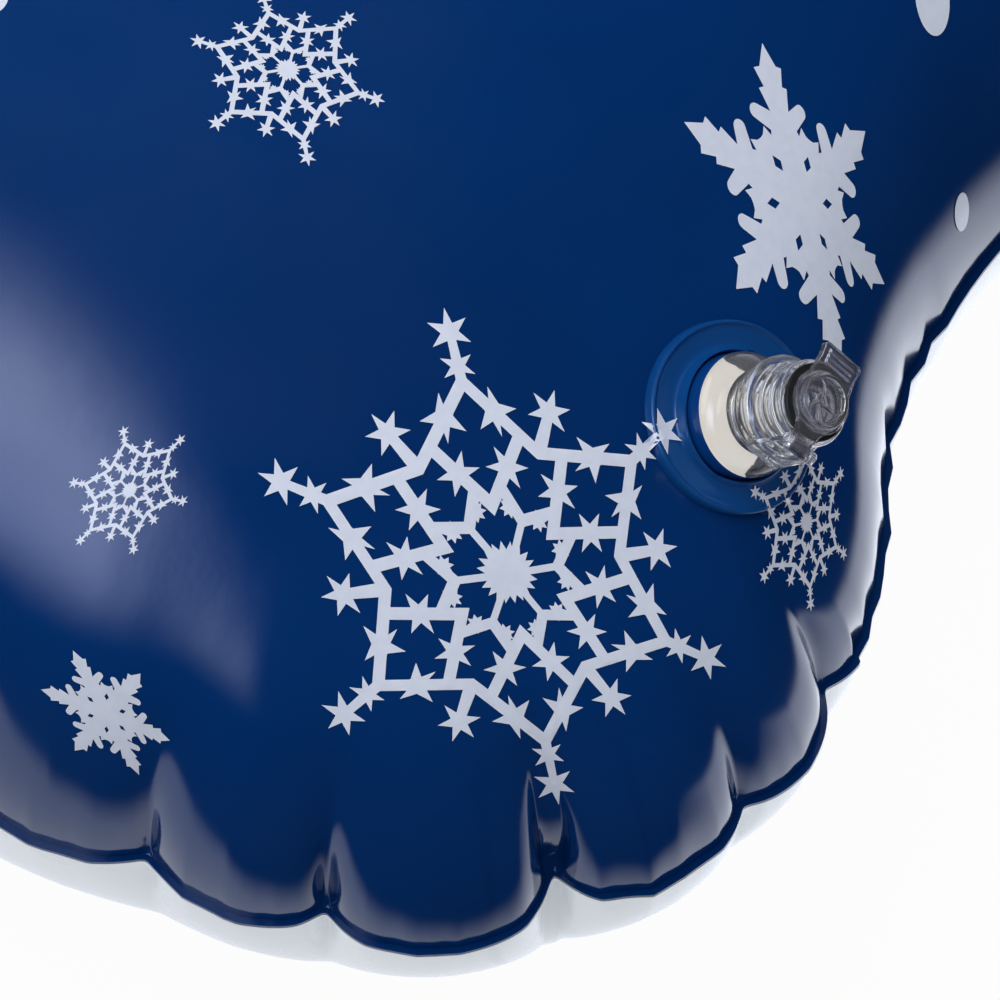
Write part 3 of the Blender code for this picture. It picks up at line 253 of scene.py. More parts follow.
class Outline:
    """The weld's outer edge: straight runs and arcs that meet tangentially, mirrored about X = 0."""

    def __init__(self):
        self.runs = []
        self.starts = [0.0]
        half_length = SLED_LENGTH / 2
        lobe = (BODY_WIDTH / 2 - LOBE_SET_BACK - LOBE_RADIUS, LOBE_RADIUS - half_length)
        reach = LOBE_RADIUS + WAIST_RADIUS
        lobe_end = math.asin(WAIST_AHEAD / reach)
        waist = (lobe[0] + reach * math.cos(lobe_end), lobe[1] + WAIST_AHEAD)
        widening = BODY_WIDTH / 2 - waist[0] + WAIST_RADIUS
        swing = WAIST_RADIUS + BODY_BEND_RADIUS
        flare = math.acos(1.0 - widening / swing)
        bend = (waist[0] - swing * math.cos(flare), waist[1] + swing * math.sin(flare))
        corner = (BODY_WIDTH / 2 - NOSE_CORNER_RADIUS, half_length - NOSE_DEPTH)
        run_out = NOSE_DEPTH - NOSE_CORNER_RADIUS
        front_radius = (corner[0] ** 2 + NOSE_DEPTH**2 - NOSE_CORNER_RADIUS**2) / (2 * run_out)
        front = (0.0, half_length - front_radius)
        turn = math.atan2(corner[1] - front[1], corner[0])
        right = math.pi / 2

        self.line((0.0, -half_length), (lobe[0], -half_length), (0.0, -1.0))
        self.arc(lobe, LOBE_RADIUS, -right, lobe_end)
        self.arc(waist, -WAIST_RADIUS, lobe_end, -flare)
        self.arc(bend, BODY_BEND_RADIUS, -flare, 0.0)
        self.line((BODY_WIDTH / 2, bend[1]), (BODY_WIDTH / 2, corner[1]), (1.0, 0.0))
        self.arc(corner, NOSE_CORNER_RADIUS, 0.0, turn)
        self.arc(front, front_radius, turn, right)
        self.half = self.starts[-1]
        self.length = 2 * self.half

    def line(self, start, end, normal):
        start, end, normal = (np.array(p) for p in (start, end, normal))
        self.runs.append(lambda share: (start + share * (end - start), normal + 0.0 * share))
        self.starts.append(self.starts[-1] + float(np.linalg.norm(end - start)))

    def arc(self, centre, radius, first, last):
        """An arc whose outward normal turns from one angle to another, concave if radius < 0."""

        def run(share):
            angle = first + share * (last - first)
            normal = np.concatenate([np.cos(angle), np.sin(angle)], axis=1)
            return np.array(centre) + radius * normal, normal

        self.runs.append(run)
        self.starts.append(self.starts[-1] + abs(radius * (last - first)))

    def at(self, along):
        """Points and outward normals at distances along the edge, from the middle of the rear edge."""
        along = np.asarray(along, float) % self.length
        mirrored = along > self.half
        along = np.where(mirrored, self.length - along, along)
        points = np.zeros((len(along), 2))
        normals = np.zeros((len(along), 2))
        for run, start, end in zip(self.runs, self.starts, self.starts[1:]):
            inside = (along >= start) & (along <= end)
            share = ((along[inside] - start) / (end - start))[:, None]
            points[inside], normals[inside] = run(share)
        sign = np.where(mirrored, -1.0, 1.0)
        points[:, 0] *= sign
        normals[:, 0] *= sign
        return points, normals

    def folds(self):
        """(distance along, depth) of each pucker, right half first and then its mirror image."""
        rear, lobe, waist, bend, side, corner, front, end = self.starts
        found = []
        rear_count = int((lobe - rear) / REAR_FOLD_PITCH)
        for index in range(rear_count):
            along = lobe - (index + 0.5) * REAR_FOLD_PITCH
            found.append((along, FOLD_DEPTH * REAR_FOLD_SHARE))
        for share, depth_share in zip(LOBE_FOLD_SHARES, LOBE_FOLD_DEPTH_SHARES):
            found.append((lobe + share * (waist - lobe), FOLD_DEPTH * depth_share))
        for start, stop, pitch, depth_share in (
            (side, corner, SIDE_FOLD_PITCH, SIDE_FOLD_SHARE),
            (corner, end, NOSE_FOLD_PITCH, NOSE_FOLD_SHARE),
        ):
            count = max(1, round((stop - start) / pitch))
            for index in range(count):
                along = start + (index + 0.5) * (stop - start) / count
                if self.half - along > TAB_WIDTH / 2 + FOLD_WIDTH:
                    found.append((along, FOLD_DEPTH * depth_share))
        found.sort()
        return found + [(self.length - along, depth) for along, depth in reversed(found)]


class Pillow:
    """How far the air lifts the film, from 0 at the weld towards 1 well inside it.

    The lift is relaxed on a grid, as a film under pressure settles, with the weld held at zero.
    """

    def __init__(self, outline):
        steps = int(outline.length / FLANGE_WIDTH)
        self.places = np.arange(steps) * outline.length / steps
        points, normals = outline.at(self.places)
        self.edge = points - FLANGE_WIDTH * normals
        self.edge_normals = normals
        half = np.array([BODY_WIDTH / 2, SLED_LENGTH / 2]) + 2 * GRID_STEP
        self.low = -half
        counts = np.ceil(2 * half / GRID_STEP).astype(int) + 1
        x = self.low[0] + GRID_STEP * np.arange(counts[0])
        y = self.low[1] + GRID_STEP * np.arange(counts[1])
        nodes = np.stack(np.meshgrid(x, y, indexing="ij"), axis=-1)
        depth = self.nearest(nodes.reshape(-1, 2))[0].reshape(counts)
        self.lift = self.relaxed(depth)
        inside = depth > GRID_STEP / 4
        near = 1.0 - np.exp(-np.maximum(depth, GRID_STEP / 4) / PILLOW_REACH)
        self.ratio = self.spread(np.where(inside, self.lift / near, 0.0), inside)

    def nearest(self, points):
        """How far inside the weld line each point is, and its place along the edge."""
        depths, places = [], []
        for first in range(0, len(points), NODES_AT_ONCE):
            block = points[first : first + NODES_AT_ONCE]
            offsets = block[:, None, :] - self.edge[None, :, :]
            nearest = (offsets**2).sum(axis=2).argmin(axis=1)
            rows = np.arange(len(block))
            depths.append(-(offsets[rows, nearest] * self.edge_normals[nearest]).sum(axis=1))
            places.append(self.places[nearest])
        return np.concatenate(depths), np.concatenate(places)

    def relaxed(self, depth):
        inside = depth > 0.0
        lift = np.zeros(depth.shape)
        arms = []
        for shift in SIDES:
            other = self.beside(depth, shift)
            crossing = inside & (other < 0.0)
            cut = depth / np.where(crossing, depth - other, 1.0)
            arms.append(np.where(crossing, np.clip(cut, SHORTEST_ARM, 1.0), 1.0))
        east, west, north, south = arms
        facing = ((east, west), (west, east), (north, south), (south, north))
        weights = [2 / (arm * (arm + other)) for arm, other in facing]
        pull = (GRID_STEP / PILLOW_REACH) ** 2
        total = sum(weights) + pull
        i, j = np.indices(depth.shape)
        colours = [inside & ((i + j) % 2 == parity) for parity in (0, 1)]
        for _ in range(GRID_SWEEPS):
            for colour in colours:
                pushed = pull + sum(w * self.beside(lift, shift) for w, shift in zip(weights, SIDES))
                lift = np.where(colour, lift + OVER_RELAXATION * (pushed / total - lift), lift)
        return lift

    @staticmethod
    def beside(table, shift):
        """Each cell's neighbour on one side."""
        return np.roll(table, (-shift[0], -shift[1]), axis=(0, 1))

    @staticmethod
    def spread(values, known):
        """The values carried outwards a few cells, so that reading near the weld stays smooth."""
        values = values.copy()
        known = known.copy()
        for _ in range(SPREAD_CELLS):
            total = np.zeros(values.shape)
            count = np.zeros(values.shape)
            for shift in SIDES + CORNERS:
                total += np.roll(values * known, shift, axis=(0, 1))
                count += np.roll(known, shift, axis=(0, 1))
            fresh = ~known & (count > 0)
            values[fresh] = total[fresh] / count[fresh]
            known |= fresh
        return values

    def read(self, table, points):
        """A smooth cubic reading of a grid table."""
        place = (points - self.low) / GRID_STEP
        cell = np.clip(np.floor(place).astype(int), 1, np.array(table.shape) - 3)
        u = place - cell
        spans = [
            (
                (-t + 2 * t**2 - t**3) / 2,
                (2 - 5 * t**2 + 3 * t**3) / 2,
                (t + 4 * t**2 - 3 * t**3) / 2,
                (-(t**2) + t**3) / 2,
            )
            for t in u.T
        ]
        value = np.zeros(len(points))
        for i, along in enumerate(spans[0]):
            for j, across in enumerate(spans[1]):
                value += along * across * table[cell[:, 0] + i - 1, cell[:, 1] + j - 1]
        return value

    def at(self, points, depth):
        rise = 1.0 - np.exp(-np.maximum(depth, 0.0) / PILLOW_REACH)
        near = self.read(self.ratio, points) * rise
        far = self.read(self.lift, points)
        blend = smoothstep(depth / NEAR_BAND - 0.5)
        return np.maximum(near + blend * (far - near), 0.0)


OUTLINE = Outline()
PILLOW = Pillow(OUTLINE)
FOLDS = OUTLINE.folds()


def seam_height(y):
    """Height of the middle of the weld, which climbs towards the nose."""
    climb = (y - SLED_LENGTH / 2) / NOSE_RISE_LENGTH + 1.0
    return SEAM_HEIGHT + NOSE_RISE * smoothstep(climb)


def baffle_lines():
    return [(index - (BAFFLE_COUNT - 1) / 2) * BAFFLE_PITCH for index in range(BAFFLE_COUNT)]


def deck_window(y):
    return smoothstep((BAFFLE_LENGTH / 2 + DECK_FADE / 4 - np.abs(y)) / DECK_FADE)


def deck_fall(x, y):
    """How far the webs hold the top film down."""
    reach = (BAFFLE_COUNT - 1) / 2 * BAFFLE_PITCH
    fall = DECK_DROP * smoothstep((reach + DECK_FADE - np.abs(x)) / DECK_FADE)
    for line in baffle_lines():
        away = np.maximum(np.abs(x - line) - WELD_STRIP, 0.0)
        near = np.clip(1.0 - away / (BAFFLE_PITCH / 2 - WELD_STRIP), 0.0, 1.0)
        fall = fall + DECK_VALLEY * near**2
    return fall * deck_window(y)


def keel_lift(x, y):
    """How far the webs hold the bottom film up."""
    lift = 0.0
    for line in baffle_lines():
        near = np.clip(1.0 - ((x - line) / KEEL_HALF_WIDTH) ** 2, 0.0, 1.0)
        lift = lift + KEEL_VALLEY * near**2
    return lift * deck_window(y)


def flattened(z):
    """Heights pressed flat where the ground holds the film."""
    eased = (z + GROUND_EASE) ** 2 / (4 * GROUND_EASE)
    return np.where(z > GROUND_EASE, z, np.where(z > -GROUND_EASE, eased, 0.0))


def top_height(points, depth):
    lift = TOP_CROWN * np.sqrt(PILLOW.at(points, depth))
    x, y = points.T
    fall = deck_fall(x, y) * smoothstep(lift / TOP_CROWN)
    return seam_height(y) + WELD_GAP / 2 + FILM + lift - fall


def bottom_height(points, depth):
    lift = BOTTOM_CROWN * np.sqrt(PILLOW.at(points, depth))
    x, y = points.T
    return flattened(seam_height(y) - WELD_GAP / 2 - FILM - lift) + keel_lift(x, y)


# Finer shape of the films
WELD_WIDTH = 0.0015
FLANGE_DEPTHS = (0.0, 0.0006, 0.0012)
RING_COUNT = 17
RING_STEP = 0.0000472
FOLD_OFFSETS = (0.0, 0.0006, 0.0013, 0.0022, 0.0034, 0.005, 0.0072, 0.01)
STATION_STEP = 0.005
CLOSE_STEP = 0.0009
INNER_STEP = 0.007
CLOSE_INNER_STEP = 0.0022
CORNER_ALONG = (0.06, 0.42)
CORNER_X = 0.075
CORNER_Y = -0.29
WELD_STRIP = 0.0035
BELLY_FOLD_REACH = 0.005
BELLY_BULGE = 0.0006
BELLY_RUN = 0.009
FOLD_SPREAD = 0.25
FOLD_END = 0.035
CREASE_DEPTH = 0.0036
CREASE_WIDTH = 0.0011
CREASE_SPREAD = 0.05
CREASE_RUN = 0.021
CREASE_START = 0.003
CREASE_SHARPNESS = 1.1
PAIR_GAP = 0.0048
PAIR_RUN = 0.02
PAIRED_SHARE = 0.9
FOLD_ROUNDING = 0.0011
CREASE_END = 0.03
RUFFLE_FADE = 0.002
# Start, end, pitch and depth of the scallops on each stretch of the cut edge
RUFFLE_STRETCHES = (
    (0.0, 0.26, 0.011, 0.0004),
    (0.266, 0.293, 0.009, 0.0013),
    (0.344, 0.422, 0.0072, 0.0026),
)
RUFFLE_SEED = 5
RUFFLE_STRAY = 0.22
RUFFLE_DEPTH_SHARES = (0.55, 1.0)
RIPPLE = 0.0001
RIPPLE_PITCH = 0.0061
RIPPLE_RUN = 0.006
RIPPLE_SWAY = 1.7
RIPPLE_SWAY_PITCH = 6.3 * RIPPLE_PITCH
EVENING_SHARES = (0.5, -0.52)
EVENING_PASSES = 14


def along_gap(along, place):
    return np.abs((along - place + OUTLINE.half) % OUTLINE.length - OUTLINE.half)


def ruffles():
    """The scallops of the weld's cut edge, as (start, end, depth), on both rear corners."""
    rng = random.Random(RUFFLE_SEED)
    found = []
    for first, last, pitch, depth in RUFFLE_STRETCHES:
        count = int((last - first) / pitch)
        shares = [i + rng.uniform(-RUFFLE_STRAY, RUFFLE_STRAY) for i in range(count + 1)]
        tips = [first + share * (last - first) / count for share in shares]
        for start, end in zip(tips, tips[1:]):
            found.append((start, end, depth * rng.uniform(*RUFFLE_DEPTH_SHARES)))
    whole = OUTLINE.length
    return found + [(whole - end, whole - start, size) for start, end, size in found]


RUFFLES = ruffles()


def fold_inset(along, depth, fold_reach):
    """How far the puckers draw the film in; each one widens and rounds off away from the weld."""
    reach = np.maximum(depth, 0.0)
    rounding = FOLD_ROUNDING + FOLD_SPREAD * reach
    width = FOLD_WIDTH + FOLD_SPREAD * reach
    inset = np.zeros(len(along))
    for place, size in FOLDS:
        away = np.hypot(along_gap(along, place), rounding) - rounding
        inset = np.maximum(inset, size * np.exp(-away / width))
    for start, end, size in RUFFLES:
        share = np.clip((along - start) / (end - start), 0.0, 1.0)
        inset = inset + size * np.sin(math.pi * share) * np.exp(-reach / RUFFLE_FADE)
    return inset * np.exp(-reach / fold_reach) * (1.0 - smoothstep((reach - FOLD_END) / FOLD_END))


def crease(along, depth, lift):
    """How far the film is pressed in along the creases that run up from the puckers."""
    run = np.hypot(np.maximum(depth, 0.0), lift)
    width = CREASE_WIDTH + CREASE_SPREAD * run
    pressed = np.zeros(len(along))
    for place, size in FOLDS:
        share = size / FOLD_DEPTH
        offsets = (-PAIR_GAP / 2, PAIR_GAP / 2) if share > PAIRED_SHARE else (0.0,)
        for offset in offsets:
            away = along_gap(along, place + offset * np.minimum(run / PAIR_RUN, 1.0))
            pressed = np.maximum(pressed, share * np.exp(-((away / width) ** CREASE_SHARPNESS)))
    sway = RIPPLE_SWAY * np.sin(2 * np.pi * along / RIPPLE_SWAY_PITCH)
    wave = np.sin(2 * np.pi * along / RIPPLE_PITCH + sway)
    fade = np.exp(-run / CREASE_RUN) * (1.0 - np.exp(-run / CREASE_START))
    fade = fade * (1.0 - smoothstep((run - CREASE_END) / CREASE_END))
    return CREASE_DEPTH * pressed * fade + RIPPLE * wave * np.exp(-run / RIPPLE_RUN)


def film_stations():
    """Distances along the edge: close together at each pucker and in the photographed corner."""
    marks = []
    for place, _ in FOLDS:
        marks += [place + side * offset for offset in FOLD_OFFSETS for side in (-1, 1)]
    marks = np.unique(np.round(np.array(marks) % OUTLINE.length, 6))
    found = []
    for here, there in zip(marks, np.append(marks[1:], marks[0] + OUTLINE.length)):
        middle = (here + there) / 2
        close = CORNER_ALONG[0] < middle < CORNER_ALONG[1]
        count = max(1, math.ceil((there - here) / (CLOSE_STEP if close else STATION_STEP)))
        found += list(here + (there - here) * np.arange(count) / count)
    return np.array(found) % OUTLINE.length


def inner_spots(last_depth, side):
    """Plan points inside the rings, with more of them in the photographed corner."""
    spots = []
    for step, close in ((INNER_STEP, False), (CLOSE_INNER_STEP, True)):
        if close and side < 0:
            continue
        x = np.arange(-BODY_WIDTH / 2, BODY_WIDTH / 2, step)
        y = np.arange(-SLED_LENGTH / 2, SLED_LENGTH / 2, step * math.sqrt(0.75))
        grid_x, grid_y = np.meshgrid(x, y, indexing="ij")
        grid_x = grid_x + (np.arange(len(y)) % 2) * step / 2
        grid = np.column_stack([grid_x.ravel(), grid_y.ravel()])
        corner = (grid[:, 0] > CORNER_X) & (grid[:, 1] < CORNER_Y)
        if side > 0:
            grid = grid[corner == close]
        depth = PILLOW.nearest(grid)[0] + FLANGE_WIDTH
        spots.append(grid[depth > last_depth + step / 2])
    spots = np.concatenate(spots)
    if side > 0:
        strips = []
        for line in baffle_lines():
            near = np.abs(spots[:, 0] - line) < WELD_STRIP + INNER_STEP / 2
            spots = spots[~(near & (np.abs(spots[:, 1]) < BAFFLE_LENGTH / 2))]
            for y in np.arange(-BAFFLE_LENGTH / 2, BAFFLE_LENGTH / 2, INNER_STEP):
                strips += [(line + across, y) for across in (-WELD_STRIP, 0.0, WELD_STRIP)]
        spots = np.concatenate([spots, np.array(strips)])
    return spots


def hole_ring(height):
    """Plan points of the valve's hole, which is round about the valve's own axis."""
    across, ahead, up = (np.array(VALVE.to_3x3().col[i]) for i in range(3))
    centre = np.array(VALVE.translation)
    angles = np.linspace(0.0, 2 * math.pi, HOLE_SEGMENTS, endpoint=False)
    around = np.cos(angles)[:, None] * across + np.sin(angles)[:, None] * ahead
    ring = centre + HOLE_RADIUS * around
    for _ in range(HOLE_PASSES):
        depth = PILLOW.nearest(ring[:, :2])[0]
        ring = ring + HOLE_EASE * (height(ring[:, :2], depth) - ring[:, 2])[:, None] * up * up[2]
    return ring[:, :2]


def band(here, there, size):
    """Faces between two closed rings of points."""
    faces = []
    for i in range(size):
        j = (i + 1) % size
        faces.append((here + i, here + j, there + j, there + i))
    return faces


def film_surface(height, side):
    """Outer face points and faces of one film, with its folds and creases."""
    stations = film_stations()
    points, normals = OUTLINE.at(stations)
    count = len(stations)
    depths = list(FLANGE_DEPTHS) + [WELD_WIDTH + RING_STEP * k**2 for k in range(RING_COUNT)]
    rows = []
    faces = []
    for ring, depth in enumerate(depths):
        rows.append(np.column_stack([points - depth * normals, stations, np.full(count, depth)]))
        if ring:
            faces += band((ring - 1) * count, ring * count, count)
    rings = np.concatenate(rows)
    spots = inner_spots(depths[-1], side)
    edges = [(i, (i + 1) % count) for i in range(count)]
    hole = []
    if side > 0:
        hole = hole_ring(height)
        middle = np.array([VALVE_X, VALVE_Y])
        spread = np.hypot(*(hole - middle).T).max()
        clear = np.hypot(*(spots - middle).T) > HOLE_CLEARING * spread
        spots = np.concatenate([spots[clear], hole])
    inner = np.concatenate([rings[-count:, :2], spots])
    first, size = len(inner) - len(hole), len(hole)
    edges += [(first + i, first + (i + 1) % size) for i in range(size)]
    found = delaunay_2d_cdt([Vector(p) for p in inner], edges, [], 1, FILM / 1000)
    origin = [sources[0] for sources in found[3]]
    last = (len(depths) - 1) * count
    for face in found[2]:
        corners = [origin[i] for i in face]
        if min(corners) < first:
            faces.append(tuple(last + corner for corner in corners))
    depth, place = PILLOW.nearest(spots)
    plan = np.concatenate([rings, np.column_stack([spots, place, depth + FLANGE_WIDTH])])

    flat, along, depth = plan[:, :2], plan[:, 2], plan[:, 3] - WELD_WIDTH
    z = height(flat, depth)
    inset = fold_inset(along, depth, FOLD_REACH if side > 0 else BELLY_FOLD_REACH)
    on_ground = 1.0
    if side < 0:
        faces = [face[::-1] for face in faces]
        reach = np.maximum(depth, 0.0) / BELLY_RUN
        inset = inset - BELLY_BULGE * reach * np.exp(1.0 - reach)
        on_ground = smoothstep(np.minimum(z, SEAM_HEIGHT) / SEAM_HEIGHT)
    outward = OUTLINE.at(along)[1]
    lifted = z + SEAM_LIFT_SHARE * inset * on_ground
    outer = np.column_stack([flat - inset[:, None] * outward, lifted])
    pressed = crease(along, depth, np.abs(z - seam_height(flat[:, 1])))
    pressed = np.where(depth > 0.0, pressed, 0.0) * on_ground
    outer = outer - pressed[:, None] * point_normals(outer, faces)
    free = np.abs(outer[:, 1]) > BAFFLE_LENGTH / 2 + BAFFLE_STRIP
    free[:len(rings)] = False
    free[len(free) - size:] = False
    return evened(outer, faces, free), faces, count


def evened(points, faces, free):
    """The free points with the faint facets of the plan's rays taken out, and no shape lost."""
    pairs = np.array([(a, b) for face in faces for a, b in zip(face, face[1:] + face[:1])])
    pairs = np.unique(np.sort(pairs, axis=1), axis=0)
    size = len(points)
    count = np.maximum(np.bincount(pairs.ravel(), minlength=size), 1)
    for share in EVENING_SHARES * EVENING_PASSES:
        columns = []
        for column in points.T:
            total = np.bincount(pairs[:, 0], column[pairs[:, 1]], size)
            total += np.bincount(pairs[:, 1], column[pairs[:, 0]], size)
            columns.append(np.where(free, column + share * (total / count - column), column))
        points = np.column_stack(columns)
    return points


def point_normals(points, faces):
    """Unit normals of the points of a surface, weighted by the area of the faces round them."""
    normals = np.zeros(points.shape)
    for size, ends in ((3, ((1, 0), (2, 0))), (4, ((2, 0), (3, 1)))):
        group = np.array([face for face in faces if len(face) == size])
        if len(group):
            corners = points[group]
            area = np.cross(*(corners[:, end] - corners[:, start] for end, start in ends))
            for corner in range(size):
                np.add.at(normals, group[:, corner], area)
    return normals / np.maximum(np.linalg.norm(normals, axis=1, keepdims=True), 1e-20)


def closed_film(points, faces, side, rim):
    """The film as a thin closed shell: its outer face, its inner face and its cut edges."""
    normals = point_normals(points, faces)
    normals[:rim] = (0.0, 0.0, side)
    inner = points - FILM * normals
    count = len(points)
    closed = list(faces) + [tuple(count + i for i in face[::-1]) for face in faces]
    seen = {pair for face in faces for pair in zip(face, face[1:] + face[:1])}
    borders = [(first, second) for first, second in seen if (second, first) not in seen]
    closed += [(second, first, count + first, count + second) for first, second in borders]
    return np.concatenate([points, inner]), closed


# Colours of the films and the print, in linear values
NAVY = (0.0006, 0.028, 0.142)
PRINT_WHITE = (0.60, 0.65, 0.78)
FILM_WHITE = (0.88, 0.92, 0.96)


class Shading:
    """A node tree, with the few sums that its nodes do."""

    def __init__(self, tree):
        self.tree = tree

    def node(self, kind, inputs=None, **settings):
        made = self.tree.nodes.new(kind)
        for key, value in settings.items():
            setattr(made, key, value)
        for key, value in (inputs or {}).items():
            if isinstance(value, bpy.types.NodeSocket):
                self.tree.links.new(value, made.inputs[key])
            else:
                made.inputs[key].default_value = value
        return made

    def sum(self, operation, value, other):
        return self.node("ShaderNodeMath", {0: value, 1: other}, operation=operation).outputs[0]

    def times(self, value, other):
        return self.sum("MULTIPLY", value, other)

    def stretched(self, value, low, high, to_low, to_high, kind="LINEAR"):
        inputs = {0: value, 1: low, 2: high, 3: to_low, 4: to_high}
        return self.node("ShaderNodeMapRange", inputs, interpolation_type=kind).outputs[0]


class Finish(Shading):
    """A material: plain values on its shader, and nodes for its grain, wear and shades."""

    def __init__(self, name, colour, roughness, values=()):
        self.made = bpy.data.materials.new(name)
        self.made.use_nodes = True
        super().__init__(self.made.node_tree)
        self.shader = self.tree.nodes["Principled BSDF"]
        self.colour = colour
        self.shader.inputs["Base Color"].default_value = (*colour, 1.0)
        self.shader.inputs["Roughness"].default_value = roughness
        for key, value in values:
            self.shader.inputs[key].default_value = value
        self.place = self.node("ShaderNodeTexCoord").outputs["Object"]
        self.height = None

    def noise(self, scale, detail=3.0, stretch=(1.0, 1.0, 1.0)):
        """Cloudy values from 0 to 1, with that many clouds to the metre."""
        inputs = {"Vector": self.place, "Scale": stretch}
        inputs = {"Vector": self.node("ShaderNodeMapping", inputs).outputs["Vector"], "Scale": scale}
        return self.node("ShaderNodeTexNoise", {**inputs, "Detail": detail}).outputs["Fac"]

    def texture(self, kind, scale, output):
        return self.node(f"ShaderNodeTex{kind}", {"Vector": self.place, "Scale": scale}).outputs[output]

    def shaded(self, value, other, low=0.35, high=0.65, most=1.0):
        """The colour drifts to another one where a value is high."""
        share = self.stretched(value, low, high, 0.0, most)
        base = self.shader.inputs["Base Color"]
        first = base.links[0].from_socket if base.links else (*self.colour, 1.0)
        mixed = self.node("ShaderNodeMix", {0: share, 6: first, 7: (*other, 1.0)}, data_type="RGBA")
        self.tree.links.new(mixed.outputs[2], base)
        return self

    def rough(self, value, low, high):
        """Roughness that drifts between two values."""
        drift = self.stretched(value, 0.3, 0.7, low, high)
        self.tree.links.new(drift, self.shader.inputs["Roughness"])
        return self

    def bump(self, value, distance, strength=1.0):
        """Relief of that height in metres, added to what is there."""
        inputs = {"Height": value, "Distance": distance, "Strength": strength}
        if self.height:
            inputs["Normal"] = self.height
        self.height = self.node("ShaderNodeBump", inputs).outputs["Normal"]
        self.tree.links.new(self.height, self.shader.inputs["Normal"])
        return self


CLEAR = (("IOR", 1.49), ("Transmission Weight", 0.95))
CAP_CLEAR = (("IOR", 1.49), ("Transmission Weight", 0.93))
GLOSSY = (("IOR", 1.5),)
FINE_RELIEF = ((900.0, 2.0, 0.000003), (130.0, 2.0, 0.00002))
# Each look: its colour, roughness and plain settings; the scale and the span of its roughness; the
# scale, detail, colour and most of its second shade; and the scale, detail and height of its reliefs
LOOK_TABLE = {
    "navy_film": (NAVY, 0.12, (("IOR", 1.52),), (40.0, 0.09, 0.14),
                  (9.0, 3.0, (0.001, 0.019, 0.098), 0.6), FINE_RELIEF),
    "white_print": (PRINT_WHITE, 0.2, GLOSSY, (60.0, 0.17, 0.26),
                    (420.0, 4.0, (0.53, 0.585, 0.72), 0.5), FINE_RELIEF),
    "white_film": (FILM_WHITE, 0.28, GLOSSY, (50.0, 0.24, 0.34),
                   (14.0, 3.0, (0.82, 0.87, 0.93), 0.7), ((700.0, 2.0, 0.000006), (90.0, 3.0, 0.00006))),
    "flange": ((0.003, 0.054, 0.215), 0.2, GLOSSY, (160.0, 0.16, 0.24),
               (60.0, 3.0, (0.002, 0.043, 0.18), 0.6), ((1500.0, 2.0, 0.000008),)),
    "clear": ((0.95, 0.94, 0.92), 0.04, CLEAR, (260.0, 0.02, 0.07),
              (120.0, 3.0, (0.9, 0.89, 0.86), 0.6), ((420.0, 2.0, 0.00002),)),
    "cap": ((0.45, 0.44, 0.46), 0.05, CAP_CLEAR, (300.0, 0.03, 0.1),
            (200.0, 3.0, (0.38, 0.37, 0.39), 0.6), ((600.0, 2.0, 0.00002),)),
    "sleeve": ((0.002, 0.04, 0.2), 0.14, GLOSSY, (200.0, 0.1, 0.18),
               (80.0, 3.0, (0.0015, 0.032, 0.16), 0.6), ()),
    "gasket": ((0.009, 0.009, 0.01), 0.5, (), (300.0, 0.42, 0.6),
               (500.0, 3.0, (0.016, 0.016, 0.017), 1.0), ((2200.0, 2.0, 0.00001),)),
    "handle": ((0.004, 0.03, 0.13), 0.34, GLOSSY, (90.0, 0.28, 0.42),
               (50.0, 3.0, (0.003, 0.024, 0.105), 0.7), ((2600.0, 2.0, 0.000012),)),
    "grip": ((0.018, 0.019, 0.022), 0.82, (), (120.0, 0.74, 0.92),
             (900.0, 3.0, (0.03, 0.031, 0.035), 1.0), ((3800.0, 2.0, 0.00003),)),
    "patch": ((0.002, 0.03, 0.135), 0.26, GLOSSY, (90.0, 0.22, 0.34),
              (40.0, 3.0, (0.0015, 0.022, 0.105), 0.7), ((1500.0, 2.0, 0.00001),)),
    "tab": ((0.002, 0.028, 0.13), 0.3, GLOSSY, (90.0, 0.26, 0.4),
            (50.0, 3.0, (0.0015, 0.021, 0.1), 0.7), ((1200.0, 2.0, 0.00001),)),
    "web": ((0.7, 0.72, 0.75), 0.4, (), (60.0, 0.34, 0.46),
            (20.0, 3.0, (0.64, 0.66, 0.7), 1.0), ((700.0, 2.0, 0.00001),)),
}
# The coarser relief under the fine one: the texture, its scale, its output and its height
COARSE_RELIEF = {
    "grip": ("Voronoi", 1500.0, "Distance", 0.00012),
    "tab": ("Checker", 900.0, "Fac", 0.00008),
}
EYELET_BRUSHING = (900.0, 2.0, (1.0, 1.0, 0.05))
LOOKS = {}


def finishes():
    """Every material of the sled."""
    for name, (colour, roughness, settings, worn, second, reliefs) in LOOK_TABLE.items():
        look = LOOKS[name] = Finish(name, colour, roughness, settings)
        look.rough(look.noise(worn[0]), *worn[1:])
        look.shaded(look.noise(*second[:2]), second[2], most=second[3])
        if name in COARSE_RELIEF:
            *texture, distance = COARSE_RELIEF[name]
            look.bump(look.texture(*texture), distance)
        for scale, detail, distance in reliefs:
            look.bump(look.noise(scale, detail), distance)

    eyelet = LOOKS["eyelet"] = Finish("eyelet", (0.7, 0.7, 0.68), 0.22, (("Metallic", 1.0),))
    brushed = eyelet.noise(*EYELET_BRUSHING)
    eyelet.rough(brushed, 0.16, 0.34)
    eyelet.shaded(eyelet.noise(300.0), (0.55, 0.55, 0.53), most=0.7)
    eyelet.bump(brushed, 0.000006)


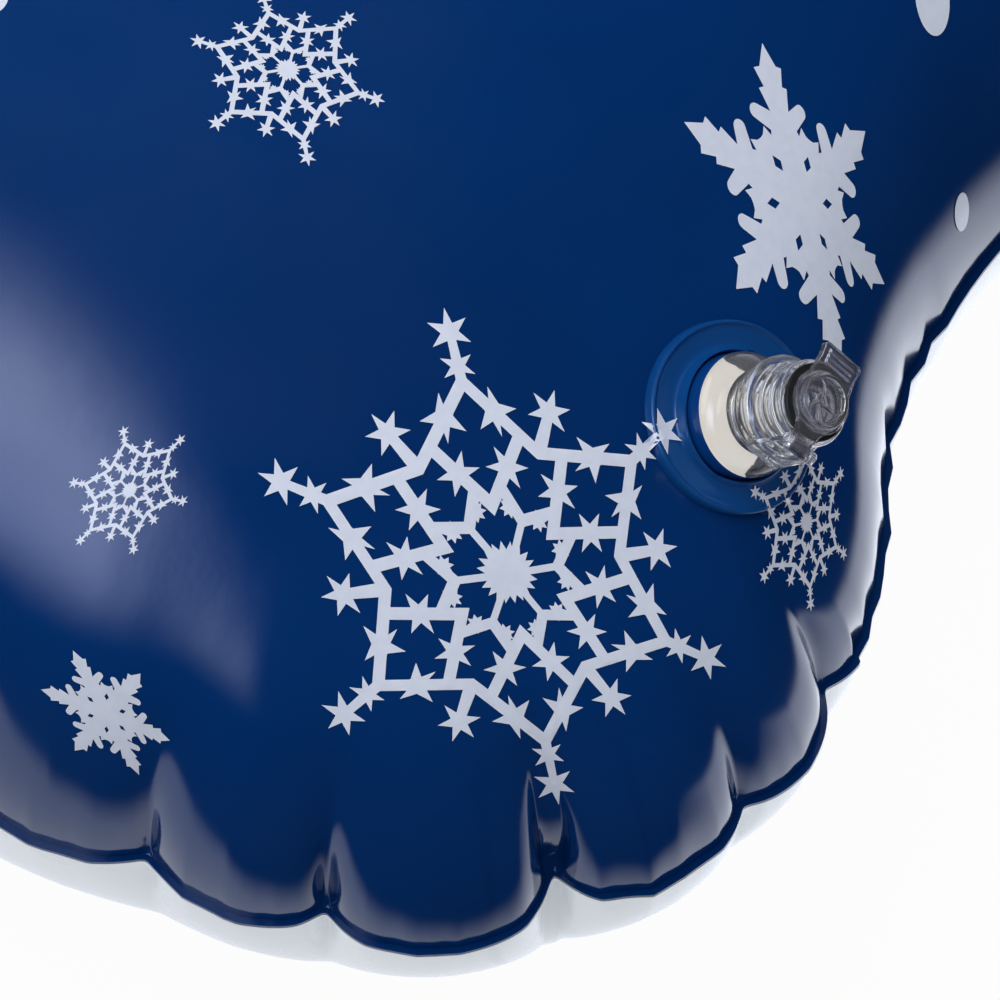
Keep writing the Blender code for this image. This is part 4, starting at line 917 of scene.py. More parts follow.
def lamp(name, place, aim, size, radiance, colour=(1.0, 1.0, 1.0), unseen_by=()):
    """A soft round lamp that the camera doesn't see, as bright in a mirror as radiance says."""
    data = bpy.data.lights.new(name, "AREA")
    data.shape = "DISK"
    data.size = size
    data.energy = radiance * math.pi * math.pi * (size / 2) ** 2
    light = bpy.data.objects.new(name, data)
    bpy.context.scene.collection.objects.link(light)
    light.location = place
    light.rotation_euler = (Vector(aim) - Vector(place)).to_track_quat("-Z", "Y").to_euler()
    data.color = colour
    for ray in ("camera", *unseen_by):
        setattr(light, f"visible_{ray}", False)


# The softbox that the film mirrors, by the way in which it lies
SOFTBOX_RADIANCE = 3.8
SOFTBOX_COLOUR = (1.0, 1.12, 1.5, 1.0)
SOFTBOX_REAR = (-0.9, -0.55)
SOFTBOX_FRONT = (-0.44, -0.08)
SOFTBOX_TILT = 0.15
SOFTBOX_RIGHT = (-0.22, -0.045)
SOFTBOX_LEFT = (-0.75, -0.5)
SOFTBOX_RISE = (0.0, 0.1)
KEY_WAY = Vector((-0.3, 0.08, 0.95)).normalized()
KEY_DISTANCE = 2.0
KEY_SIZE = 2.4
KEY_RADIANCE = 2.9
INNER_GLOW_DEPTH = 0.02
INNER_GLOW_SIZE = 0.022
INNER_GLOW_RADIANCE = 0.75
INNER_GLOW_COLOUR = (1.0, 0.96, 0.9)
FLOOR_SIZE = 24.0
FLOOR_GAP = 0.0005
FLOOR_GREY = (0.82, 0.82, 0.82)
FLOOR_WORN = (0.8, 0.8, 0.8)
FLOOR_SEEN = 0.95
SKY_MIRRORED = 0.004
SKY_REFRACTED = (1.0, 0.3)
SKY_REFRACTED_RISE = (0.05, 0.6)
SKY_DIFFUSE = 0.38
# The lit floor that the walls mirror: to a slant line beside the sled, and to one behind it
MIRRORED_FLOOR = 1.7
BEHIND_SHARE = 0.6
BESIDE_SLANT = 0.8
BESIDE_EDGE = (0.135, 0.22)
BEHIND_SLANT = -0.9
BEHIND_EDGE = (-0.88, -0.77)
CORNER_Y_SPAN = (-0.52, -0.42)
FLOOR_TINT = (0.93, 0.98, 1.1, 1.0)
FLOOR_BOUNCE = 1.0


def build_stage():
    """The camera, the lamps, the pale surroundings and the floor."""
    scene = bpy.context.scene
    scene.view_settings.view_transform = "Standard"
    data = bpy.data.cameras.new("photo_camera")
    data.sensor_width = SENSOR
    data.lens = SENSOR * VIEW_DISTANCE / VIEW_WIDTH
    data.clip_end = 100.0
    camera = bpy.data.objects.new("photo_camera", data)
    scene.collection.objects.link(camera)
    camera.matrix_world = VIEW
    scene.camera = camera

    key = VIEW_CENTRE + KEY_DISTANCE * KEY_WAY
    lamp("key", key, VIEW_CENTRE, KEY_SIZE, KEY_RADIANCE, unseen_by=("glossy",))
    bell = Vector(VALVE.translation)
    inside = bell + INNER_GLOW_DEPTH * (bell - EYE).normalized()
    hidden = ("glossy", "diffuse")
    lamp("inner_glow", inside, bell, INNER_GLOW_SIZE, INNER_GLOW_RADIANCE, INNER_GLOW_COLOUR, hidden)

    world = bpy.data.worlds.new("surroundings")
    scene.world = world
    world.use_nodes = True
    sky = Shading(world.node_tree)
    background = sky.tree.nodes["Background"]
    way = sky.node("ShaderNodeTexCoord").outputs["Generated"]
    split = sky.node("ShaderNodeSeparateXYZ", {0: way})
    across, along = split.outputs["X"], split.outputs["Y"]
    slanted = sky.sum("ADD", across, sky.times(along, SOFTBOX_TILT))
    softbox = sky.stretched(slanted, *SOFTBOX_RIGHT, SOFTBOX_RADIANCE, 0.0, "SMOOTHSTEP")
    for value, edge, first, last in (
        (slanted, SOFTBOX_LEFT, 0.0, 1.0),
        (along, SOFTBOX_REAR, 0.0, 1.0),
        (along, SOFTBOX_FRONT, 1.0, 0.0),
    ):
        softbox = sky.times(softbox, sky.stretched(value, *edge, first, last, "SMOOTHSTEP"))
    softbox = sky.times(softbox, sky.stretched(split.outputs["Z"], *SOFTBOX_RISE, 0.0, 1.0))
    ray = sky.node("ShaderNodeLightPath")
    strength = SKY_DIFFUSE
    mirrored = sky.sum("ADD", softbox, SKY_MIRRORED)
    refracted = sky.stretched(split.outputs["Z"], *SKY_REFRACTED_RISE, *SKY_REFRACTED)
    for kind, level in (("Glossy", mirrored), ("Transmission", refracted), ("Camera", 1.0)):
        inputs = {0: ray.outputs[f"Is {kind} Ray"], 2: strength, 3: level}
        strength = sky.node("ShaderNodeMix", inputs).outputs[0]
    white = (1.0, 1.0, 1.0, 1.0)
    inputs = {0: ray.outputs["Is Glossy Ray"], 6: white, 7: SOFTBOX_COLOUR}
    colour = sky.node("ShaderNodeMix", inputs, data_type="RGBA").outputs[2]
    sky.tree.links.new(colour, background.inputs["Color"])
    sky.tree.links.new(strength, background.inputs["Strength"])

    mesh = bpy.data.meshes.new("floor")
    half = FLOOR_SIZE / 2
    corners = [(-half, -half, 0), (half, -half, 0), (half, half, 0), (-half, half, 0)]
    mesh.from_pydata(corners, [], [(0, 1, 2, 3)])
    floor = bpy.data.objects.new("floor", mesh)
    scene.collection.objects.link(floor)
    floor.location.z = min(corner[2] for corner in cad_box) - FLOOR_GAP
    finish = Finish("pale_floor", FLOOR_GREY, 0.7)
    finish.shaded(finish.noise(30.0), FLOOR_WORN)
    lit = finish.node("ShaderNodeEmission", {"Color": (1.0, 1.0, 1.0, 1.0), "Strength": 1.0})
    ray = finish.node("ShaderNodeLightPath")
    bounced = finish.times(ray.outputs["Is Diffuse Ray"], FLOOR_BOUNCE)
    seen = finish.times(ray.outputs["Is Camera Ray"], FLOOR_SEEN)
    share = finish.sum("ADD", bounced, seen)
    inputs = {0: share, 1: finish.shader.outputs[0], 2: lit.outputs[0]}
    blend = finish.node("ShaderNodeMixShader", inputs)
    split = finish.node("ShaderNodeSeparateXYZ", {0: finish.place})
    across, along = split.outputs["X"], split.outputs["Y"]
    slanted = finish.sum("ADD", across, finish.times(along, BESIDE_SLANT))
    beside = finish.stretched(slanted, *BESIDE_EDGE, MIRRORED_FLOOR, 0.0, "SMOOTHSTEP")
    beside = finish.times(beside, finish.stretched(along, *CORNER_Y_SPAN, 0.0, 1.0))
    slanted = finish.sum("ADD", along, finish.times(across, BEHIND_SLANT))
    most = BEHIND_SHARE * MIRRORED_FLOOR
    behind = finish.stretched(slanted, *BEHIND_EDGE, 0.0, most, "SMOOTHSTEP")
    behind = finish.times(behind, finish.stretched(along, *CORNER_Y_SPAN, 1.0, 0.0))
    glow = finish.sum("ADD", beside, behind)
    image = finish.node("ShaderNodeEmission", {"Color": FLOOR_TINT, "Strength": glow}).outputs[0]
    inputs = {0: ray.outputs["Is Glossy Ray"], 1: blend.outputs[0], 2: image}
    around = finish.node("ShaderNodeMixShader", inputs)
    surface = finish.tree.nodes["Material Output"].inputs["Surface"]
    finish.tree.links.new(around.outputs[0], surface)
    mesh.materials.append(finish.made)


def mesh_piece(name, shape, look, body, slot, *nodes, place=None, sharp=50.0):
    """A piece of the sled that rides on a body and stands for its nodes."""
    points, faces = placed(shape, place) if place else shape
    mesh = bpy.data.meshes.new(name)
    mesh.from_pydata(np.asarray(points).tolist(), [], faces)
    mesh.validate()
    mesh.shade_smooth()
    if sharp:
        mesh.set_sharp_from_angle(angle=math.radians(sharp))
    thing = bpy.data.objects.new(name, mesh)
    bpy.context.scene.collection.objects.link(thing)
    mesh.materials.append(LOOKS[look].made)
    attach(thing, body)
    if nodes:
        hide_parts(*nodes)
    return thing


def circle(segments, radius=1.0):
    turns = [2 * math.pi * step / segments for step in range(segments)]
    return [(radius * math.cos(turn), radius * math.sin(turn)) for turn in turns]


def turned(profile, segments=64):
    """A closed profile of (radius, height) points swept round the local Z axis."""
    points = []
    for across, ahead in circle(segments):
        points += [(r * across, r * ahead, z) for r, z in profile]
    size = len(profile)
    faces = []
    for step in range(segments):
        here, there = step * size, (step + 1) % segments * size
        faces += [(a, d, c, b) for a, b, c, d in band(here, there, size)]
    return points, faces


def stacked(points, rings, segments):
    """A solid stacked from rings of points, closed at both ends."""
    faces = [tuple(range(segments))[::-1]]
    for ring in range(rings - 1):
        faces += band(ring * segments, (ring + 1) * segments, segments)
    faces.append(tuple((rings - 1) * segments + i for i in range(segments)))
    return points, faces


def looped(points, rings, segments):
    """A solid of rings of points that close on themselves, as round a tyre."""
    faces = []
    for ring in range(rings):
        faces += band(ring * segments, (ring + 1) % rings * segments, segments)
    return points, faces


def rod(radius, start, end, axis="Z", segments=32, rounding=0.0):
    """A round rod along one axis, with its two rims rounded."""
    rings = [(radius - rounding, start), (radius - 0.3 * rounding, start + 0.3 * rounding)]
    rings.append((radius, start + rounding))
    rings += [(r, start + end - place) for r, place in reversed(rings)]
    points = []
    for r, place in rings:
        for x, y in circle(segments, r):
            points.append({"X": (place, x, y), "Y": (y, place, x), "Z": (x, y, place)}[axis])
    return stacked(points, len(rings), segments)


def prism(outline, low, high):
    """An outline of (x, y) points, extruded from low to high."""
    points = [(x, y, z) for z in (low, high) for x, y in outline]
    return stacked(points, 2, len(outline))


def block(low, high):
    (x0, y0, z0), (x1, y1, z1) = low, high
    return prism([(x0, y0), (x1, y0), (x1, y1), (x0, y1)], z0, z1)


def arc_points(centre, radius, first, last, count):
    angles = np.linspace(math.radians(first), math.radians(last), count)
    return [(centre[0] + radius * math.cos(a), centre[1] + radius * math.sin(a)) for a in angles]


def moved(shape, x=0.0, y=0.0, z=0.0):
    return [(px + x, py + y, pz + z) for px, py, pz in shape[0]], shape[1]


def placed(shape, matrix):
    return [tuple(matrix @ Vector(p)) for p in shape[0]], shape[1]


def evaluated(thing):
    """The mesh of an object with its modifiers applied; the object itself is removed."""
    graph = bpy.context.evaluated_depsgraph_get()
    mesh = bpy.data.meshes.new_from_object(thing.evaluated_get(graph))
    bpy.data.objects.remove(thing, do_unlink=True)
    return mesh


def loose(shape):
    """A bare object of one closed shape, with its faces turned outwards."""
    mesh = bpy.data.meshes.new("work")
    mesh.from_pydata([tuple(p) for p in shape[0]], [], [tuple(f) for f in shape[1]])
    work = bmesh.new()
    work.from_mesh(mesh)
    bmesh.ops.recalc_face_normals(work, faces=work.faces)
    work.to_mesh(mesh)
    work.free()
    thing = bpy.data.objects.new("work", mesh)
    bpy.context.scene.collection.objects.link(thing)
    return thing


MODEL_SCALE = 1000.0
SOFTENING = 0.5


def fused(shapes, voxel, rounds=2, cutters=()):
    """Closed shapes melted into one skin with soft inner corners, and then cut."""
    points, faces = [], []
    for shape in shapes:
        faces += [tuple(len(points) + i for i in face) for face in shape[1]]
        points += [tuple(MODEL_SCALE * value for value in p) for p in shape[0]]
    thing = loose((points, faces))
    remesh = thing.modifiers.new("skin", "REMESH")
    remesh.mode = "VOXEL"
    remesh.voxel_size = MODEL_SCALE * voxel
    smooth = thing.modifiers.new("soft", "SMOOTH")
    smooth.factor = SOFTENING
    smooth.iterations = rounds
    others = []
    for shape in cutters:
        other = loose(([tuple(MODEL_SCALE * value for value in p) for p in shape[0]], shape[1]))
        others.append(other)
        cut = thing.modifiers.new("cut", "BOOLEAN")
        cut.operation = "DIFFERENCE"
        cut.solver = "EXACT"
        cut.object = other
    bpy.context.view_layer.update()
    mesh = evaluated(thing)
    for other in others:
        bpy.data.objects.remove(other, do_unlink=True)
    mesh.transform(Matrix.Scale(1.0 / MODEL_SCALE, 4))
    return [tuple(v.co) for v in mesh.vertices], [tuple(p.vertices) for p in mesh.polygons]


DRAPE_HEIGHT = 0.1


def film_point(tree, x, y):
    """The point of the film straight above or below (x, y)."""
    return tree.ray_cast(Vector((x, y, 1.0)), Vector((0.0, 0.0, -1.0)))[0]


def standing_frame(tree, x, y, reach):
    """A frame on the film at (x, y): its Z is the film's own normal, its Y points forwards."""
    spot = film_point(tree, x, y)
    side = film_point(tree, x + reach, y) - film_point(tree, x - reach, y)
    ahead = film_point(tree, x, y + reach) - film_point(tree, x, y - reach)
    up = side.cross(ahead).normalized()
    across = Vector((0.0, 1.0, 0.0)).cross(up).normalized()
    return Matrix.Translation(spot) @ Matrix((across, up.cross(across), up)).transposed().to_4x4()


def draped(tree, place, profile, segments):
    """Rings of points at (radius, lift over the film), in a frame that stands on the film."""
    down = -(place.to_3x3() @ Vector((0.0, 0.0, 1.0)))
    points = []
    for radius, lift in profile:
        for x, y in circle(segments, radius):
            local = Vector((x, y, DRAPE_HEIGHT))
            hit = tree.ray_cast(place @ local, down)
            over = DRAPE_HEIGHT - hit[3] + lift if hit[0] else lift
            points.append((local.x, local.y, over))
    return points


# Oral valve, finer than the model's
FLANGE_SECTION = (
    (0.0128, -0.0005), (0.0128, 0.0015), (0.0129, 0.0020), (0.0132, 0.0023), (0.0135, 0.0022),
    (0.0137, 0.0019), (0.0139, 0.0014), (0.0143, 0.0012), (0.0150, 0.0012), (0.0162, 0.0013),
    (0.0174, 0.0015), (0.0180, 0.0015), (0.0183, 0.0017), (0.0185, 0.0020), (0.0188, 0.0021),
    (0.0191, 0.0019), (0.0193, 0.0014), (0.0194, 0.0008), (0.0194, -0.0004),
)
SLEEVE_HEIGHT = 0.0056
NECK_WALL = 0.0014
VALVE_SEGMENTS = 96
NECK_RING_STEPS = 12
NECK_RING_SHARPNESS = 1.6
BORE_RING_START = 5
CAP_VOXEL = 0.00015
STRAP_VOXEL = 0.0002


def body_profile():
    """The clear moulding's section: lip, bell, ribbed neck and collar outside, and the bore inside."""
    lip = -VALVE_LIP_DROP
    low = lip - VALVE_WALL
    edge = VALVE_WALL / 3
    turn = BELL_RADIUS - NECK_RADIUS + NECK_GROOVE
    shoulder = BELL_HEIGHT - turn
    rim = VALVE_LIP_RADIUS
    outside = [(rim - edge, low), (rim, low + edge), (rim, lip - edge), (rim - edge, lip)]
    outside += [(BELL_RADIUS + edge, lip), (BELL_RADIUS, lip + edge)]
    outside += [(BELL_RADIUS, lip + share * (shoulder - lip)) for share in (0.3, 0.6, 0.9)]
    outside += arc_points((BELL_RADIUS - turn, shoulder), turn, 0.0, 82.0, 12)
    base, top = NECK_BASE, COLLAR_TOP
    neck_top = top - COLLAR_HEIGHT
    steps = NECK_RING_STEPS * NECK_RING_COUNT
    neck = []
    for step in range(steps + 1):
        wave = math.cos(2 * math.pi * step / NECK_RING_STEPS)
        groove = NECK_GROOVE * (0.5 + 0.5 * wave) ** NECK_RING_SHARPNESS
        neck.append((groove, base + (neck_top - base) * step / steps))
    outside += [(NECK_RADIUS - groove, z) for groove, z in neck]
    outside += [(COLLAR_RADIUS - edge, neck_top + edge), (COLLAR_RADIUS, neck_top + 2 * edge)]
    outside += arc_points((COLLAR_RADIUS - edge, top - edge), edge, 0.0, 90.0, 4)
    inside = [(BORE_RADIUS + edge / 2, top), (BORE_RADIUS, top - edge / 2), (BORE_RADIUS, neck_top)]
    floor = shoulder + 2 * VALVE_WALL
    for groove, z in neck[:BORE_RING_START:-1]:
        inside.append((NECK_RADIUS - NECK_WALL - groove, z))
    inner = BELL_RADIUS - VALVE_WALL
    inside += [
        (BORE_RADIUS, floor + 2 * VALVE_WALL), (SEAT_RADIUS, floor), (SEAT_RADIUS, floor - VALVE_WALL),
        (FLAP_RADIUS + VALVE_WALL, floor - VALVE_WALL), (inner - 0.4 * turn, shoulder + 0.3 * turn),
        (inner - 0.1 * turn, shoulder), (inner, shoulder - 0.3 * turn), (inner, lip), (inner, low),
    ]
    return outside + inside


def valve_piece(name, shape, look, body, slot, node, sharp=50.0):
    return mesh_piece(name, shape, look, body, slot, node, place=VALVE, sharp=sharp)


def build_valve(trees):
    ring = draped(trees["top_film"], VALVE, FLANGE_SECTION, VALVE_SEGMENTS)
    shape = looped(ring, len(FLANGE_SECTION), VALVE_SEGMENTS)
    flange = valve_piece("valve_ring", shape, "flange", "sled", "flange_pvc", "valve_flange", 60.0)
    trees["flange"] = BVHTree.FromPolygons([v.co for v in flange.data.vertices], shape[1])

    points, faces = turned(body_profile(), VALVE_SEGMENTS)
    body = valve_piece("valve_bell", (points, faces), "clear", "valve", "clear_pvc", "valve_body")
    body.data.materials.append(LOOKS["sleeve"].made)
    for face, polygon in zip(faces, body.data.polygons):
        heights = [points[i][2] for i in face]
        radii = [math.hypot(*points[i][:2]) for i in face]
        if max(heights) < SLEEVE_HEIGHT and min(radii) > BELL_RADIUS - VALVE_WALL / 2:
            polygon.material_index = 1

    low, high = COLLAR_TOP + CLEARANCE / 2, COLLAR_TOP + CLEARANCE + GASKET_THICKNESS
    edge = GASKET_THICKNESS / 3
    section = [(BORE_RADIUS, high), (BORE_RADIUS, low)]
    section += [(GASKET_RADIUS - edge, low), (GASKET_RADIUS, low + edge)]
    section += arc_points((GASKET_RADIUS - edge, high - edge), edge, 0.0, 90.0, 4)
    shape = turned(section, VALVE_SEGMENTS)
    valve_piece("valve_seal", shape, "gasket", "valve", "gasket_rubber", "valve_gasket")

    flap_top = BELL_HEIGHT - (BELL_RADIUS - NECK_RADIUS) + VALVE_WALL - CLEARANCE
    thick = FLAP_THICKNESS
    flap = rod(FLAP_RADIUS, flap_top - thick, flap_top, "Z", 48, thick / 3)
    hinge = rod(thick / 2, -FLAP_RADIUS / 3, FLAP_RADIUS / 3, "X", 16)
    hinge = moved(hinge, 0.0, -FLAP_RADIUS + thick / 2, flap_top - thick / 2)
    shape = fused([flap, hinge], STRAP_VOXEL)
    valve_piece("valve_flap", shape, "clear", "flap", "clear_pvc", "valve_check_flap")
    build_cap()
    build_strap()


def tab_outline():
    """The cap plate seen from above: round, with a flared pull tab ahead and a tail to the hinge."""
    half_tab, tail = CAP_TAB_WIDTH / 2, KNUCKLE_WIDTH / 2
    side = [(tail, -HINGE_REACH), (tail, -0.8 * HINGE_REACH)]
    side += arc_points((0.0, 0.0), CAP_RADIUS, -58.0, 38.0, 20)
    side += [(0.97 * half_tab, 0.7 * CAP_TAB_LENGTH), (1.0 * half_tab, 0.86 * CAP_TAB_LENGTH)]
    side += arc_points((0.8 * half_tab, 0.9 * CAP_TAB_LENGTH), 0.1 * CAP_TAB_LENGTH, 0.0, 90.0, 5)
    return side + [(-x, y) for x, y in reversed(side)]


def curved_rib(angle, low, high, width=CAP_RIB_WIDTH):
    start = CAP_BOSS_RADIUS - width / 2
    end = CAP_RIM_RADIUS - CAP_RIM_WIDTH / 2
    outer, inner = [], []
    for share in np.linspace(0.0, 1.0, 12):
        radius = start + share * (end - start)
        turn = math.radians(angle + 40.0 * share)
        half = width / 2 / radius
        outer.append((radius * math.cos(turn + half), radius * math.sin(turn + half)))
        inner.append((radius * math.cos(turn - half), radius * math.sin(turn - half)))
    return prism(inner + outer[::-1], low, high)


def hinge_rod(radius, start, end, *rest):
    """A rod along the cap's hinge."""
    return moved(rod(radius, start, end, "X", *rest), 0.0, -HINGE_REACH, HINGE_HEIGHT)


def build_cap():
    """The cap: a thin plate with rim, boss, curved ribs, pull tab, plug and hinge knuckle."""
    seat, rib = CAP_SEAT, CAP_RIB_WIDTH
    top = seat + CAP_THICKNESS
    sunk = seat + CAP_THICKNESS / 2
    ridge = top + CAP_RIM_HEIGHT
    outer, inner, edge = CAP_RIM_RADIUS, CAP_RIM_RADIUS - CAP_RIM_WIDTH, CAP_RIM_WIDTH / 4
    rim = [(outer, sunk), (outer, ridge - CAP_RIM_WIDTH / 3), (outer - edge, ridge)]
    rim += [(inner + edge, ridge), (inner, ridge - CAP_RIM_WIDTH / 3), (inner, sunk)]
    wide, foot = BORE_RADIUS - CLEARANCE - rib / 7, seat - PLUG_DEPTH
    narrow = wide - 1.5 * PLUG_TAPER
    plug = [(wide, sunk), (wide, seat - PLUG_TAPER), (wide - PLUG_TAPER, foot)]
    plug += [(wide - 2 * PLUG_TAPER, foot), (narrow, seat), (narrow, sunk)]
    shapes = [prism(tab_outline(), seat, top), turned(rim), turned(plug)]
    shapes.append(rod(CAP_BOSS_RADIUS, sunk, top + 0.8 * CAP_RIM_HEIGHT, "Z", 32, rib / 3))
    shapes.append(hinge_rod(KNUCKLE_RADIUS, -KNUCKLE_WIDTH / 2, KNUCKLE_WIDTH / 2))
    half, reach = 0.7 * CAP_TAB_WIDTH / 2, 0.86 * CAP_TAB_LENGTH
    for index in range(3):
        turn = 90.0 + 120.0 * index
        shapes.append(curved_rib(turn, sunk, top + 0.5 * CAP_RIM_HEIGHT))
        shapes.append(curved_rib(turn + 60.0, sunk, top + 0.15 * CAP_RIM_HEIGHT, rib / 2))
    for index in range(3):
        y = reach - index * rib * 1.6
        shapes.append(block((-half, y - rib / 2, sunk), (half, y + rib / 2, top + rib / 2)))
    hole = hinge_rod(AXLE_RADIUS + CLEARANCE, -KNUCKLE_WIDTH, KNUCKLE_WIDTH)
    shape = fused(shapes, CAP_VOXEL, 2, [hole])
    valve_piece("valve_lid", shape, "cap", "cap", "clear_pvc", "valve_cap", 60.0)


def build_strap():
    """The strap: a ring round the neck, a tongue up its side, and two lugs with the cap's axle."""
    axis = HINGE_HEIGHT
    low = COLLAR_TOP - COLLAR_HEIGHT - STRAP_RING_DROP
    high = low + STRAP_RING_HEIGHT
    inner = NECK_RADIUS + CLEARANCE
    outer = inner + STRAP_THICKNESS
    edge = STRAP_THICKNESS / 3
    ring = [(inner, low), (outer - edge, low), (outer, low + edge), (outer, high - edge)]
    ring += [(outer - edge, high), (inner, high)]
    half = KNUCKLE_WIDTH / 2 + CLEARANCE
    wide = half + LUG_WIDTH
    back, front = (-HINGE_REACH + side * STRAP_THICKNESS / 2 for side in (-1, 1))
    top = axis - KNUCKLE_RADIUS - CLEARANCE
    shapes = [
        turned(ring),
        block((-wide, back, low), (wide, front, top)),
        block((-wide, back, low), (wide, -inner - STRAP_THICKNESS / 2, high)),
        hinge_rod(AXLE_RADIUS, -half - LUG_WIDTH / 2, half + LUG_WIDTH / 2),
    ]
    for start, end in ((-wide, -half), (half, wide)):
        shapes.append(hinge_rod(KNUCKLE_RADIUS, start, end, 32, edge / 2))
        shapes.append(block((start, back, top - STRAP_THICKNESS), (end, front, axis)))
    shape = fused(shapes, STRAP_VOXEL, 2)
    valve_piece("valve_tether", shape, "clear", "valve", "clear_pvc", "valve_strap", 60.0)


def tube(path, segments):
    """A round bar along a path of (y, z, radius) points in the local YZ plane."""
    points = []
    spots = [Vector((y, z)) for y, z, _ in path]
    for index, (y, z, radius) in enumerate(path):
        run = spots[min(index + 1, len(path) - 1)] - spots[max(index - 1, 0)]
        run.normalize()
        for across, side in circle(segments, radius):
            points.append((across, y - side * run.y, z + side * run.x))
    return stacked(points, len(path), segments)


def handle_path():
    """The handle's centre line and its radius at each point, from one head to the other."""
    ear = HANDLE_SPAN / 2
    outside = ear + EAR_THICKNESS / 2 + CLEARANCE
    foot = ear - EAR_THICKNESS / 2 - HANDLE_FOOT_RUN
    end, edge = outside + HANDLE_HEAD_LENGTH, HANDLE_HEAD_LENGTH / 4
    bar, head = HANDLE_BAR_RADIUS, HANDLE_HEAD_RADIUS
    path = [(end, 0.0, head - 2 * edge), (end - edge / 3, 0.0, head - edge)]
    path += [(end - edge, 0.0, head - edge / 4), (end - 1.5 * edge, 0.0, head)]
    path += [(outside + edge, 0.0, head), (outside, 0.0, head - edge / 2)]
    path.append((outside - edge / 10, 0.0, bar))
    low, high = HANDLE_FOOT_BEND, HANDLE_TOP_BEND
    bend = arc_points((foot, low), low, 270.0, 180.0, 14)
    bend += arc_points((foot - low - high, HANDLE_ARM - high), high, 0.0, 90.0, 14)
    path += [(y, z, bar) for y, z in bend]
    return path + [(-y, z, size) for y, z, size in reversed(path)]


def grip_shape():
    """The soft sleeve: a ribbed tube on the handle's top bar."""
    half = HANDLE_SPAN / 2 - EAR_THICKNESS / 2 - HANDLE_FOOT_RUN
    half = half - HANDLE_FOOT_BEND - HANDLE_TOP_BEND - CLEARANCE
    inner = HANDLE_BAR_RADIUS + CLEARANCE
    edge = GRIP_RIB
    section = [(inner, -half), (GRIP_RADIUS - 1.8 * edge, -half)]
    steps = GRIP_RIB_STEPS * GRIP_RIB_COUNT
    for step in range(steps + 1):
        wave = 0.5 + 0.5 * math.cos(2 * math.pi * step / GRIP_RIB_STEPS)
        along = -half + edge / 2 + (2 * half - edge) * step / steps
        section.append((GRIP_RADIUS - GRIP_RIB * wave**GRIP_RIB_SHARPNESS, along))
    section += [(GRIP_RADIUS - 1.8 * edge, half), (inner, half)]
    points, faces = turned(section, 64)
    return [(x, z, y + HANDLE_ARM) for x, y, z in points], faces


# The disc's upper side, as shares of its radius and of its height
PATCH_SECTION = (
    (0.0, 1.0), (0.2, 1.0), (0.4, 1.0), (0.6, 1.0), (0.72, 1.0), (0.76, 0.82), (0.8, 0.7), (0.86, 0.66),
    (0.92, 0.66), (0.96, 0.6), (0.985, 0.4), (1.0, 0.0), (1.0, -0.5),
)
PATCH_VOXEL = 0.00045
PATCH_SEGMENTS = 64


def patch_shape(tree, base, end):
    """A welded disc with a raised middle and a thin rim, and the ear that the handle turns in."""
    place = base @ Matrix.Translation((0.0, end * HANDLE_SPAN / 2, 0.0))
    top = FILM_CLEARANCE + PATCH_THICKNESS
    section = [(max(share, 0.02) * PATCH_RADIUS, lift * top) for share, lift in PATCH_SECTION]
    under = [(radius, -0.5 * top) for radius, _ in reversed(section[:-1])]
    points = draped(tree, place, section + under, PATCH_SEGMENTS)
    disc = stacked(points, len(section + under), PATCH_SEGMENTS)
    half = EAR_THICKNESS / 2
    ring = arc_points((0.0, HANDLE_AXIS_HEIGHT), EAR_RADIUS, 0.0, 180.0, 24)
    flare = [(1.6, -top / 2), (1.6, top / 2), (1.2, top + half), (1.02, top + 2 * half)]
    flare = [(share * EAR_RADIUS, z) for share, z in flare]
    outline = [*flare, *ring, *[(-x, z) for x, z in reversed(flare)]]
    ear = prism(outline, -half, half)
    ear = [(x, y, z) for x, z, y in ear[0]], ear[1]
    hole = rod(HANDLE_BAR_RADIUS + SLIDE_CLEARANCE, -2 * half, 2 * half, "Y", 48)
    hole = moved(hole, z=HANDLE_AXIS_HEIGHT)
    return placed(fused([disc, ear], PATCH_VOXEL, 3, [hole]), place)


def build_handles(trees, cad_tree):
    for side, name in ((1, "right"), (-1, "left")):
        base = standing_frame(cad_tree, side * HANDLE_X, HANDLE_Y, EAR_RADIUS)
        axis = base @ Matrix.Translation((0.0, 0.0, HANDLE_AXIS_HEIGHT))
        node, body = f"handle_{name}", f"grab_{name}"
        shape = tube(handle_path(), 32)
        mesh_piece(f"{node}_bar", shape, "handle", body, "handle_pvc", node, place=axis)
        names = (f"{node}_sleeve", grip_shape(), "grip", body, "grip_foam", f"{node}_grip")
        mesh_piece(*names, place=axis)
        for end, spot in ((1, "front"), (-1, "rear")):
            shape = patch_shape(trees["top_film"], base, end)
            eye, patch = f"{node}_eye_{spot}", f"{node}_patch_{spot}"
            mesh_piece(eye, shape, "patch", "sled", "patch_pvc", patch)


# The tab's welded edge, as shares of its outline, and of its thickness from and to
TAB_LAYERS = ((1.0, 0.25, 0.75), (0.985, 0.1, 0.9), (0.96, 0.0, 1.0))


